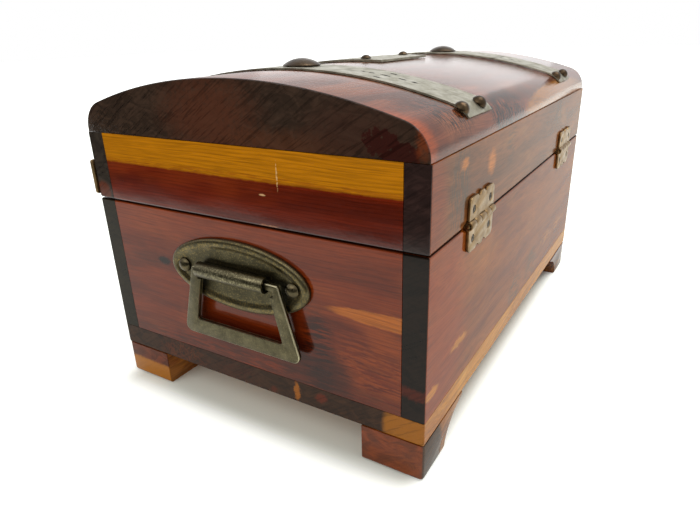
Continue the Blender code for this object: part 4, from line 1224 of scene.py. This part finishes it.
@dataclass
class Lid:
    """The lid: its four rails, its arched top board and the plates on its front corners.

    Attributes:
        frame: The loaded frame.
        curve: The surface of the top board.
        half_length: Half its length.
        base: The height of the top board's underside.
        edge: The height of the upright part of its edge.
        rim: The rounding of the arched rims.
    """

    frame: dict
    curve: LidCurve
    half_length: float = 106.0
    base: float = 105.4
    edge: float = 0.4
    rim: float = 0.5

    def top_board(self) -> Workpiece:
        """Model the arched board: a skin over the lid, let down at its edges and closed.

        Returns:
            The board.
        """
        curve = self.curve
        piece = curve.strip("lid_top_board_arched", 0, 2 * self.half_length, -curve.length, curve.length, 0,
                            1, 1.6)
        low = self.base * MM
        end_x = self.half_length * MM
        with piece.at_work():
            piece.pick(Part.EDGES, lambda edge: edge.is_boundary and middle(edge).z < low + 0.5 * MM
                       and abs(middle(edge).x) < MM)
            piece.pull((0, 0, -self.edge * MM))
            bpy.ops.mesh.edge_face_add()
            for way in (-1, 1):
                piece.pick(Part.EDGES, lambda edge: edge.is_boundary
                           and abs(middle(edge).x - way * end_x) < NEAR)
                bpy.ops.mesh.edge_face_add()
            piece.face_out()
            piece.pick(Part.EDGES, lambda edge: abs(abs(middle(edge).x) - end_x) < NEAR
                       and middle(edge).z > low + NEAR)
            piece.round_off(self.rim)
        return piece

    def build(self) -> None:
        """Dress the rails, and model the top board and the corner plates."""
        dress(self.frame, LID_END_RAIL, "lid_end_rail_right", "lid_end_rail_left")
        dress(self.frame, LID_FRONT_RAIL, "lid_front_rail")
        dress(self.frame, LID_BACK_RAIL, "lid_back_rail")
        self.top_board().deliver("lid", "dark_cedar", TOP_BOARD.material(), "lid_top_board", angle=25)
        brass = HINGE_BRASS.material()
        for side in Side:
            node = f"lid_corner_plate_{side.word}"
            plate = refined(node + "_flat", self.frame["nodes"][node], 0.2)
            plate.deliver("lid", "hinge_brass", brass, node)


@dataclass
class Straps:
    """The two hammered straps over the lid, with their studs and nails.

    Attributes:
        curve: The lid's surface.
        x: How far out the straps lie.
        width: A strap's width.
        thickness: A strap's thickness.
        end_gap: How far its ends stay off the lid's edge.
        nail_inset: How far its nails lie from its ends.
        nail_offset: How far they lie from its middle.
        gap: The gap between a seated piece and what it seats on.
        slot_width: The width of its slots.
        slot_round: The rounding of a slot's ends, as a share of its smaller size.
        slots: The path, offset and length of each slot on its back half, which the front half repeats.
        stud: The large stud on its crest.
        nail: The nail at its ends.
        stud_path: How far behind the crest each stud sits.
        back_shift: How far to the right each strap's back nails were driven.
    """

    curve: LidCurve
    x: float = 63.0
    width: float = 21.6
    thickness: float = 0.6
    end_gap: float = 7.0
    nail_inset: float = 3.3
    nail_offset: float = 7.8
    gap: float = 0.2
    slot_width: float = 1.2
    slot_round: float = 0.45
    slots: tuple[Spot, ...] = (
        (34.1, 0, 3.9), (28.8, 0, 2.0), (25.5, 0, 1.2), (40.5, 0, 2.6), (45.0, 0, 1.4), (34.1, -6.3, 2.2),
        (34.1, 6.3, 2.2))
    stud: Nail = field(default_factory=lambda: Nail(6.9, 2.6, sides=48))
    nail: Nail = field(default_factory=lambda: Nail(2.5, 2.0))
    stud_path: dict[Side, float] = field(default_factory=lambda: {Side.RIGHT: 0.0, Side.LEFT: 3.3})
    back_shift: dict[Side, float] = field(default_factory=lambda: {Side.RIGHT: 3.0, Side.LEFT: 2.0})

    @property
    def end(self) -> float:
        """The path of a strap's end."""
        return self.curve.length - self.end_gap

    def strap(self) -> Workpiece:
        """Model the right strap: a hammered skin with a thickness and its slots.

        Returns:
            The strap.
        """
        piece = self.curve.strip("strap_right_hammered", self.x, self.width, -self.end, self.end, self.gap,
                                 across=30, pitch=0.72)
        piece.hammer(*STEEL_DENTS)
        piece.thicken(self.thickness)
        tool: Workpiece | None = None
        for path, offset, length in self.slots:
            for way in (-1, 1):
                cutter = self.slot_cutter(way * path, offset, length)
                if tool is None:
                    tool = cutter
                else:
                    tool.take_up()
                    cutter.item.select_set(True)
                    bpy.ops.object.join()
        piece.carve(tool)
        return piece

    def grimy(self) -> Metal:
        """The straps' steel, with painted shade in and round the slots.

        Returns:
            The finish.
        """
        painted_shade = []
        # Each slot gets a dark oval over its walls and a thin rim round it: painted shade.
        for path, offset, length in self.slots:
            spot = self.curve.spot(path, self.thickness / 2, self.x + offset)[0] / MM
            reach = (self.slot_width / 2 + 0.35, length / 2 + 0.5, 1.2)
            painted_shade.append(Patch((34, 31, 25), (spot.x, spot.y - CENTRE_Y, spot.z), reach, 0.95, ragged=0.2))
        return replace(HAMMERED_STEEL, name="grimy_strap_steel", mottle=0.6, folded=True,
                       patches=tuple(painted_shade))

    def slot_cutter(self, path: float, offset: float, length: float) -> Workpiece:
        """A cutter for one slot, with round ends.

        Args:
            path: Where the slot lies over the lid.
            offset: How far it lies from the strap's middle.
            length: Its length.

        Returns:
            The cutter.
        """
        half = Vector((self.slot_width / 2, length / 2, 2 * self.thickness)) * MM
        cutter = Workpiece.block("slot_cutter", -half, half)
        with cutter.at_work():
            cutter.pick(Part.EDGES, lambda edge: abs(middle(edge).z) < NEAR)
            cutter.round_off(min(self.slot_width, length) * self.slot_round, 4)
        place = self.curve.spot(path, self.gap + self.thickness / 2, self.x + offset)
        cutter.item.matrix_world = standing(*place)
        cutter.settle()
        return cutter

    def build(self) -> None:
        """Model one strap, copy it, and drive the nails."""
        steel, bronze = self.grimy().material(), NAIL_BRONZE.material()
        right = self.strap()
        centre = Matrix.Translation(at(0, 0, 0))
        half_turn = centre @ Matrix.Rotation(math.pi, 4, "Z") @ centre.inverted()
        left = Workpiece.copied("strap_left_hammered", right.item, half_turn)
        right.deliver("lid", "strap_steel", steel, "strap_right")
        left.deliver("lid", "strap_steel", steel, "strap_left")
        lift = self.thickness + 2 * self.gap
        for side in Side:
            middle_x = side.value * self.x
            crest = self.curve.spot(self.stud_path[side], lift, middle_x)
            stud = self.stud.drive(f"crest_stud_{side.word}_domed", *crest)
            stud.deliver("lid", "dark_bronze", bronze, f"crest_stud_{side.word}")
            for end in End:
                shift = self.back_shift[side] if end is End.BACK else 0.0
                path = end.value * (self.end - self.nail_inset)
                for number, way in PAIR:
                    node = f"strap_{side.word}_{end.word}_nail_{number}"
                    place = self.curve.spot(path, lift, middle_x + way * self.nail_offset + shift)
                    nail = self.nail.drive(node + "_domed", *place, spin=47 * number + 20)
                    nail.deliver("lid", "dark_bronze", bronze, node)
        self.stud.put_away()
        self.nail.put_away()


@dataclass
class Handle:
    """One end's handle: an oval plate with a rolled eye, two rivets and a flat bail.

    Attributes:
        side: The end that it is on.
        panel: How far out the end board's face lies.
        height: The height of the eye's axis.
        plate_y: How far back the plate's middle lies.
        plate_z: The height of the plate's middle.
        plate_length: The plate's length.
        plate_height: The plate's height.
        gap: The gap behind a seated piece.
        plate_edge: How far its upright edge stands off the panel.
        rim: The insets and rises that shape the raised rim and the dished middle.
        eye_length: The length of the rolled eye.
        eye_radius: The outer radius of the roll.
        eye_wall: The thickness of its sheet.
        stand_off: How far the eye's axis is off the panel.
        eye_start: Where the roll starts, in degrees from straight out.
        eye_sweep: How far it runs, in degrees.
        plate_arris: The rounding of the plate's sharp edges.
        rivet: The rivet at each end of the plate.
        rivet_y: How far the rivets lie from the plate's middle.
        rivet_seat: How far the plate's dished middle stands off the panel.
        bail_thickness: The bail's thickness.
        bail_top: Its width at the top.
        bail_bottom: Its width at the bottom.
        bail_drop: How far it hangs below the eye's axis.
        bail_bar: The height of its lower bar.
        bar_half: Half the height of the bar in the eye.
        neck_drop: How far below the eye's axis the window starts.
        neck_half: Half the length of the bar in the eye.
        window_top: The window's width at the top.
        window_bottom: The window's width at the bottom.
        corners: The rounding of the bail's lower, upper and inner corners.
        worn: The rounding of the bail's outer and inner rims.
        past: How far a cutter reaches past the bail's middle.
    """

    side: Side
    panel: float = 106.0
    height: float = 60.7
    plate_y: float = -1.3
    plate_z: float = 59.9
    plate_length: float = 61.8
    plate_height: float = 26.0
    gap: float = 0.2
    plate_edge: float = 1.15
    rim: tuple[tuple[float, float], ...] = (
        (0.16, 0.36), (0.3, 0.32), (0.44, 0.22), (0.5, 0.06), (0.6, 0.0), (0.5, -0.1), (0.5, -0.2),
        (0.45, -0.22), (0.45, -0.14), (0.5, -0.05))
    eye_length: float = 30.4
    eye_radius: float = 2.8
    eye_wall: float = 0.8
    stand_off: float = 3.8
    eye_start: float = -120.0
    eye_sweep: float = 320.0
    plate_arris: float = 0.08
    rivet: Nail = field(default_factory=lambda: Nail(2.65, 1.8))
    rivet_y: float = 24.35
    rivet_seat: float = 1.4
    bail_thickness: float = 1.9
    bail_top: float = 38.2
    bail_bottom: float = 54.4
    bail_drop: float = 26.7
    bail_bar: float = 6.2
    bar_half: float = 1.1
    neck_drop: float = 3.4
    neck_half: float = 17.2
    window_top: float = 31.4
    window_bottom: float = 39.6
    corners: Spot = (3.85, 0.7, 1.4)
    worn: tuple[float, float] = (0.6, 0.35)
    past: float = 3.0

    def plate(self) -> Workpiece:
        """Model the plate: an oval disc, pulled out and inset into a rim and a dished middle.

        Returns:
            The plate with its eye.
        """
        clear_bench()
        bpy.ops.mesh.primitive_circle_add(vertices=112, radius=1, fill_type="NGON",
                                          location=at(self.panel + self.gap, self.plate_y, self.plate_z),
                                          rotation=(0, math.pi / 2, 0))
        piece = Workpiece.fresh(f"handle_plate_{self.side.word}_cast",
                                (self.plate_height / 2 * MM, self.plate_length / 2 * MM, 1))
        with piece.at_work():
            bpy.ops.mesh.select_all(action="SELECT")
            piece.pull(((self.plate_edge - self.gap) * MM, 0, 0))
            for inset, rise in self.rim:
                bpy.ops.mesh.inset(thickness=inset * MM, depth=0)
                piece.shift((rise * MM, 0, 0))
        piece.true_up()
        piece.carve(self.eye(), "UNION")
        piece.ease(self.plate_arris, angle=SHARP)
        return piece

    def eye(self) -> Workpiece:
        """Roll the eye: an edge spun nearly once round the bail's axis, with a sheet's thickness.

        Returns:
            The open roll.
        """
        axis = at(self.panel + self.stand_off, self.plate_y, self.height)
        inside = (self.eye_radius - self.eye_wall) * MM
        start = math.radians(self.eye_start)
        spot = axis + Vector((math.cos(start), 0, math.sin(start))) * inside
        piece = Workpiece.edge("rolled_eye", spot, Vector((0, self.eye_length * MM, 0)))
        with piece.at_work():
            piece.pick(Part.EDGES, lambda edge: True)
            bpy.ops.mesh.spin(steps=56, angle=math.radians(self.eye_sweep), center=axis, axis=(0, 1, 0))
        face = piece.item.data.polygons[0]
        if face.normal.dot(face.center - Vector((axis.x, face.center.y, axis.z))) < 0:
            piece.flip()
        piece.thicken(self.eye_wall)
        piece.true_up()
        return piece

    def bail(self) -> Workpiece:
        """Model the bail: a slab drawn in at its top, with its window and neck cut out.

        Returns:
            The bail.
        """
        half = self.bail_thickness / 2
        x = self.panel + self.stand_off
        top, low = self.height + self.bar_half, self.height - self.bail_drop
        sill, shoulder = low + self.bail_bar, self.height - self.neck_drop
        low_corner, top_corner, inner_corner = self.corners
        outside = self.tapered(f"bail_{self.side.word}_cast", half, (low, top),
                               (self.bail_bottom, self.bail_top), low_corner, 8)
        with outside.at_work():
            outside.pick(Part.EDGES, lambda edge: abs(middle(edge).x - x * MM) < NEAR
                         and middle(edge).z > top * MM - NEAR)
            outside.round_off(top_corner)
        outside.ease(self.worn[0], 3, SHARP)
        outside.carve(self.tapered("window", self.past, (sill, shoulder),
                                   (self.window_bottom, self.window_top), inner_corner, 4))
        outside.carve(Workpiece.block("neck", at(x - self.past, -self.neck_half, shoulder - OVERLAP),
                                      at(x + self.past, self.neck_half, self.height - self.bar_half)))
        outside.ease(self.worn[1], 3, SHARP)
        return outside

    def tapered(self, name: str, half: float, heights: tuple[float, float], widths: tuple[float, float],
                corner: float, steps: int) -> Workpiece:
        """A slab in the bail's plane that is drawn in towards its top, with round lower corners.

        Args:
            name: The slab's name.
            half: Half its thickness.
            heights: The heights of its bottom and top.
            widths: Its widths at the bottom and the top.
            corner: The rounding of its lower corners.
            steps: How many faces that rounding has.

        Returns:
            The slab.
        """
        centre = at(self.panel + self.stand_off, 0, self.height)
        reach = Vector((half, widths[0] / 2, 0)) * MM
        floor, top = (Vector((centre.x, centre.y, height * MM)) for height in heights)
        piece = Workpiece.block(name, floor - reach, top + reach)
        with piece.at_work():
            piece.pick(Part.VERTS, lambda vert: vert.co.z > top.z - NEAR)
            piece.resize((1, widths[1] / widths[0], 1), centre)
            piece.pick(Part.EDGES, lambda edge: abs(middle(edge).x - centre.x) < NEAR
                       and middle(edge).z < floor.z + NEAR)
            piece.round_off(corner, steps)
        return piece

    def build(self) -> None:
        """Model the handle's pieces on the right, and mirror them for the left end."""
        # The bail's finish holds a painted highlight on its rims besides their wear.
        bronze, worn, dark = OLIVE_BRONZE.material(), BAIL_BRONZE.material(), RIVET_BRONZE.material()
        word = self.side.word
        pieces = {f"handle_plate_{word}": (self.plate(), "chest", "handle_bronze", bronze),
                  f"bail_{word}": (self.bail(), f"bail_{word}", "handle_bronze", worn)}
        for end in End:
            spot = at(self.panel + self.rivet_seat + self.gap, self.plate_y + end.value * self.rivet_y,
                      self.plate_z)
            node = f"handle_rivet_{word}_{end.word}"
            rivet = self.rivet.drive(node + "_domed", spot, Vector((1, 0, 0)), spin=60 * end.value)
            pieces[node] = (rivet, "chest", "dark_bronze", dark)
        self.rivet.put_away()
        for node, (piece, body, slot, material) in pieces.items():
            if self.side is Side.LEFT:
                piece.turn_over()
            piece.deliver(body, slot, material, node)


@dataclass
class Hinges:
    """The two brass hinges, each with two leaves, a pin and four sunk nails.

    Attributes:
        frame: The loaded frame.
        x: How far out the hinges lie.
        tack_x: How far the nails lie from a hinge's middle.
        tack_z: How far they lie from the seam.
        seat_y: How far back the undersides of their heads lie.
        tack: The small nail that holds a leaf.
    """

    frame: dict
    x: float = 65.0
    tack_x: float = 8.1
    tack_z: float = 4.9
    seat_y: float = 70.7
    tack: Nail = field(default_factory=lambda: Nail(1.15, 0.4, 0.15, 3.5, 0.6, 20))

    def build(self) -> None:
        """Work up the leaves and pins, and drive the nails."""
        brass, bronze = HINGE_BRASS.material(), TACK_BRONZE.material()
        nodes = self.frame["nodes"]
        for side in Side:
            for leaf, body, way in (("lid", "lid", 1), ("body", "chest", -1)):
                node = f"hinge_{side.word}_{leaf}_leaf"
                refined(node + "_pressed", nodes[node], 0.12).deliver(body, "hinge_brass", brass, node)
                z = SEAM_Z + way * self.tack_z
                for number, hand in PAIR:
                    name = f"hinge_{side.word}_{leaf}_nail_{number}"
                    spot = at(side.value * self.x + hand * self.tack_x, self.seat_y, z)
                    tack = self.tack.drive(name + "_sunk", spot, Vector((0, 1, 0)), spin=30 * number)
                    tack.deliver(body, "dark_bronze", bronze, name)
            node = f"hinge_{side.word}_pin"
            refined(node + "_drawn", nodes[node], 0.1).deliver("chest", "hinge_brass", brass, node)
        self.tack.put_away()


@dataclass
class Hasp:
    """The front hasp: its plate over the crest, its tongue, its keeper, its pin and its nails.

    Attributes:
        frame: The loaded frame.
        curve: The lid's surface.
        back: The path of the plate's back edge.
        width: The plate's width over the crest.
        narrow: Its width at the knuckles.
        thickness: Its thickness.
        gap: The gap between a seated piece and what it seats on.
        taper_start: The path at which it starts to narrow.
        taper_length: The length over which it narrows.
        axis_y: How far out the knuckles' axis lies.
        axis_z: The height of that axis.
        knuckle: The radius of a knuckle.
        bore: The radius of the hole in it.
        play: The gap round the tongue's knuckle.
        nail: The nail that holds the plate and the keeper.
        crest_nails: How far the upper nails lie from the back edge, and how far apart, halved.
        lower_nails: How far the lower nails lie from the lid's edge, and how far apart, halved.
        keeper_nails: The place of the keeper's right nail.
    """

    frame: dict
    curve: LidCurve
    back: float = 11.2
    width: float = 44.8
    narrow: float = 26.0
    thickness: float = 0.9
    gap: float = 0.2
    taper_start: float = 26.0
    taper_length: float = 34.0
    axis_y: float = -71.7
    axis_z: float = 106.4
    knuckle: float = 1.5
    bore: float = 1.0
    play: float = 0.3
    nail: Nail = field(default_factory=lambda: Nail(2.2, 1.4))
    crest_nails: tuple[float, float] = (9.8, 18.0)
    lower_nails: tuple[float, float] = (13.0, 8.5)
    keeper_nails: Spot = (8.4, -71.2, 58.0)

    def plate(self) -> Workpiece:
        """Model the plate: a hammered skin drawn in towards its two knuckles.

        Returns:
            The plate.
        """
        piece = self.curve.strip("hasp_plate_hammered", 0, self.width, -self.curve.length, self.back,
                                 self.gap, across=56, pitch=0.8)
        with piece.at_work():
            mesh = bmesh.from_edit_mesh(piece.item.data)
            rows = sorted({(round(vert.co.y, 7), round(vert.co.z, 7)) for vert in mesh.verts})
            for row_y, row_z in rows:
                path = self.path_of(row_y / MM - CENTRE_Y, row_z / MM)
                share = min(max((-path - self.taper_start) / self.taper_length, 0), 1)
                drawn = (1 - math.cos(math.pi * share)) / 2
                if drawn > 0:
                    piece.pick(Part.VERTS, lambda vert: abs(vert.co.y - row_y) < DOUBLE
                               and abs(vert.co.z - row_z) < DOUBLE)
                    piece.resize((1 + (self.narrow / self.width - 1) * drawn, 1, 1), Vector())
        piece.hammer(*STEEL_DENTS)
        piece.thicken(self.thickness)
        pitch = (self.narrow + self.play) / 3
        for name, x, radius, length, operation in (
                ("knuckle", -pitch, self.knuckle, pitch - self.play, "UNION"),
                ("knuckle", pitch, self.knuckle, pitch - self.play, "UNION"),
                ("pin_bore", 0, self.bore, 2 * self.narrow, "DIFFERENCE"),
                ("room", 0, self.knuckle + self.play, pitch + self.play, "DIFFERENCE")):
            rod = Workpiece.rod(name, at(x, self.axis_y, self.axis_z), (radius, radius), length, "x", 32)
            piece.carve(rod, operation)
        return piece

    def path_of(self, y: float, z: float) -> float:
        """The length along the lid's surface from the crest to a point over it.

        Args:
            y: The point's place from front to back.
            z: Its height.

        Returns:
            The path, negative towards the front.
        """
        curve = self.curve
        tilt = math.atan2(y, z - curve.dome_z)
        if abs(tilt) <= curve.tilt:
            return tilt * curve.dome
        tilt = math.atan2(abs(y) - curve.shoulder_y, z - curve.shoulder_z)
        return math.copysign(curve.arc + (tilt - curve.tilt) * curve.shoulder, y)

    def build(self) -> None:
        """Model the plate, work up the small parts and drive the nails."""
        steel, bronze = HAMMERED_STEEL.material(), NAIL_BRONZE.material()
        nodes = self.frame["nodes"]
        self.plate().deliver("lid", "strap_steel", steel, "hasp_plate")
        for node, body in (("hasp_tongue", "hasp"), ("hasp_keeper", "chest"), ("hasp_pin", "lid")):
            refined(node + "_forged", nodes[node], 0.2).deliver(body, "strap_steel", steel, node)
        lift = self.thickness + 2 * self.gap
        rows = {"crest": (self.back - self.crest_nails[0], self.crest_nails[1]),
                "lower": (self.lower_nails[0] - self.curve.length, self.lower_nails[1])}
        places = {}
        for row, (path, x) in rows.items():
            for number, way in PAIR:
                places[f"hasp_{row}_nail_{number}"] = (*self.curve.spot(path, lift, way * x), "lid")
        x, y, z = self.keeper_nails
        for number, way in PAIR:
            places[f"keeper_nail_{number}"] = (at(way * x, y, z), Vector((0, -1, 0)), "chest")
        for turn, (node, (spot, outward, body)) in enumerate(places.items()):
            nail = self.nail.drive(node + "_domed", spot, outward, spin=33 * turn)
            nail.deliver(body, "dark_bronze", bronze, node)
        self.nail.put_away()


# ---------------------------------------------------------------- the studio


@dataclass
class Studio:
    """The pale floor, the white surround, the soft light, a dark flag and the camera.

    Attributes:
        ambient: How bright the surround is for soft light.
        camera_spot: The camera's place in metres.
        azimuth: The camera's direction round the chest in degrees.
        elevation: Its height over the horizon in degrees.
        roll: Its roll in degrees.
        lens: Its focal length in millimetres.
        sensor: The width of its sensor in millimetres.
        floor_drop: How far in metres the floor lies under the feet.
    """

    ambient: float = 0.5
    camera_spot: Spot = (0.23777, 0.12891, 0.13732)
    azimuth: float = 121.4304
    elevation: float = 22.4844
    roll: float = -1.5807
    lens: float = 28.631
    sensor: float = 36.0
    floor_drop: float = 0.00002

    def seen(self, graph: Graph) -> Socket:
        """1 where the camera, a gloss or a clear body looks, and 0 for soft light.

        Args:
            graph: The graph that needs it.

        Returns:
            The number.
        """
        path = graph.add("LightPath").outputs
        glossy = graph.math("MAXIMUM", path["Is Glossy Ray"], path["Is Transmission Ray"])
        return graph.math("MAXIMUM", path["Is Camera Ray"], glossy)

    def surround(self) -> None:
        """Make the world white to the eye and softer as a light."""
        world = bpy.data.worlds.new("white_surround")
        bpy.context.scene.world = world
        graph = Graph(world)
        strength = graph.step(self.seen(graph), 0, 1, self.ambient, 1.0)
        graph.finish({"Color": (1, 1, 1, 1), "Strength": strength})

    def floor(self) -> None:
        """Lay the plain pale floor, which glows white to the eye and in reflections away from the chest: a
        painted light that cuts the chest's shadow short.
        """
        clear_bench()
        bpy.ops.mesh.primitive_plane_add(size=8, location=(0, 0, -self.floor_drop))
        floor = bpy.context.object
        floor.name = "pale_floor"
        graph = Graph.material("pale_floor_paint")
        place = graph.place()
        grain = graph.noise(place, (3, 3, 3), 2).outputs[0]
        outside = graph.vector("SUBTRACT", graph.vector("ABSOLUTE", place), (105, 62, 0))
        outside = graph.vector("MULTIPLY", graph.vector("MAXIMUM", outside, (0, 0, 0)), (1, 1, 0))
        away = graph.vector("LENGTH", outside)
        # Painted light: the glow is nil at the chest's footprint, rises over 13 mm outside it and rises
        # again far away.
        glow = graph.math("ADD", graph.step(away, 0, 13, 0, 0.6), graph.step(away, 60, 900, 0, 0.4))
        floor.data.materials.append(graph.finish({
            "Base Color": (0.79, 0.82, 0.74, 1), "Roughness": graph.step(grain, 0.3, 0.7, 0.85, 0.95),
            "Specular IOR Level": 0.1, "Emission Color": (1, 1, 1, 1),
            "Emission Strength": graph.math("MULTIPLY", self.seen(graph), glow)}))

    def flag(self) -> None:
        """Stand a dark flag behind the camera, which the lid's end reflects."""
        clear_bench()
        bpy.ops.mesh.primitive_plane_add(size=1, location=(0.3, -0.05, 0.1), rotation=(0, math.pi / 2, 0))
        piece = Workpiece.fresh("dark_flag", (0.2, 1.5, 1))
        graph = Graph.material("dark_cloth")
        weave = graph.noise(graph.place(), (2, 2, 2), 2).outputs[0]
        piece.item.data.materials.append(graph.finish({
            "Base Color": (0.01, 0.009, 0.008, 1), "Roughness": graph.step(weave, 0.3, 0.7, 0.85, 0.95),
            "Specular IOR Level": 0.1}))
        piece.item.visible_camera = False
        piece.item.visible_diffuse = False
        piece.item.visible_shadow = False

    def lamp(self, name: str, spot: Spot, size: float, watts: float) -> None:
        """Hang a soft square lamp that points at the chest.

        Args:
            name: The lamp's name.
            spot: Its place in metres.
            size: Its width in metres.
            watts: Its power.
        """
        light = bpy.data.lights.new(name, "AREA")
        light.size = size
        light.energy = watts
        lamp = bpy.data.objects.new(name, light)
        lamp.location = spot
        aim = Vector((0, 0, 0.06)) - Vector(spot)
        lamp.rotation_euler = aim.to_track_quat("-Z", "Y").to_euler()
        lamp.visible_camera = False
        bpy.context.scene.collection.objects.link(lamp)

    def camera(self) -> None:
        """Set up the camera as it stood for the photograph."""
        angles = (self.azimuth, self.elevation, self.roll)
        azimuth, elevation, roll = (math.radians(angle) for angle in angles)
        back = Vector((math.sin(azimuth) * math.cos(elevation), -math.cos(azimuth) * math.cos(elevation),
                       math.sin(elevation)))
        level = Vector((math.cos(azimuth), math.sin(azimuth), 0))
        upright = back.cross(level)
        right = level * math.cos(roll) + upright * math.sin(roll)
        up = upright * math.cos(roll) - level * math.sin(roll)
        lens = bpy.data.cameras.new("camera")
        lens.lens = self.lens
        lens.sensor_width = self.sensor
        lens.clip_start = 0.005
        camera = bpy.data.objects.new("camera", lens)
        place = Matrix((right, up, back)).transposed().to_4x4()
        camera.matrix_world = Matrix.Translation(self.camera_spot) @ place
        bpy.context.scene.collection.objects.link(camera)
        bpy.context.scene.camera = camera

    def build(self) -> None:
        """Set up the whole studio."""
        bpy.context.scene.view_settings.view_transform = "Standard"
        self.surround()
        self.floor()
        self.flag()
        self.lamp("key_light", (-0.3, 0.42, 1.28), 0.9, 14)
        self.lamp("fill_light", (1.1, -0.2, 0.8), 1.2, 7.5)
        self.lamp("sheen_light", (-1.44, -0.67, 0.3), 1.0, 1.6)
        self.camera()


def main() -> None:
    """Build the dressed chest and its studio."""
    logging.basicConfig(level=logging.INFO, format="%(message)s")
    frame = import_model()
    curve = LidCurve()
    for assembly in (Case(frame), Lid(frame, curve), Straps(curve), Handle(Side.RIGHT), Handle(Side.LEFT),
                     Hinges(frame), Hasp(frame, curve), Studio()):
        assembly.build()
        log.info("%s is done", type(assembly).__name__)
    bpy.context.view_layer.update()


if __name__ == "__main__":
    main()
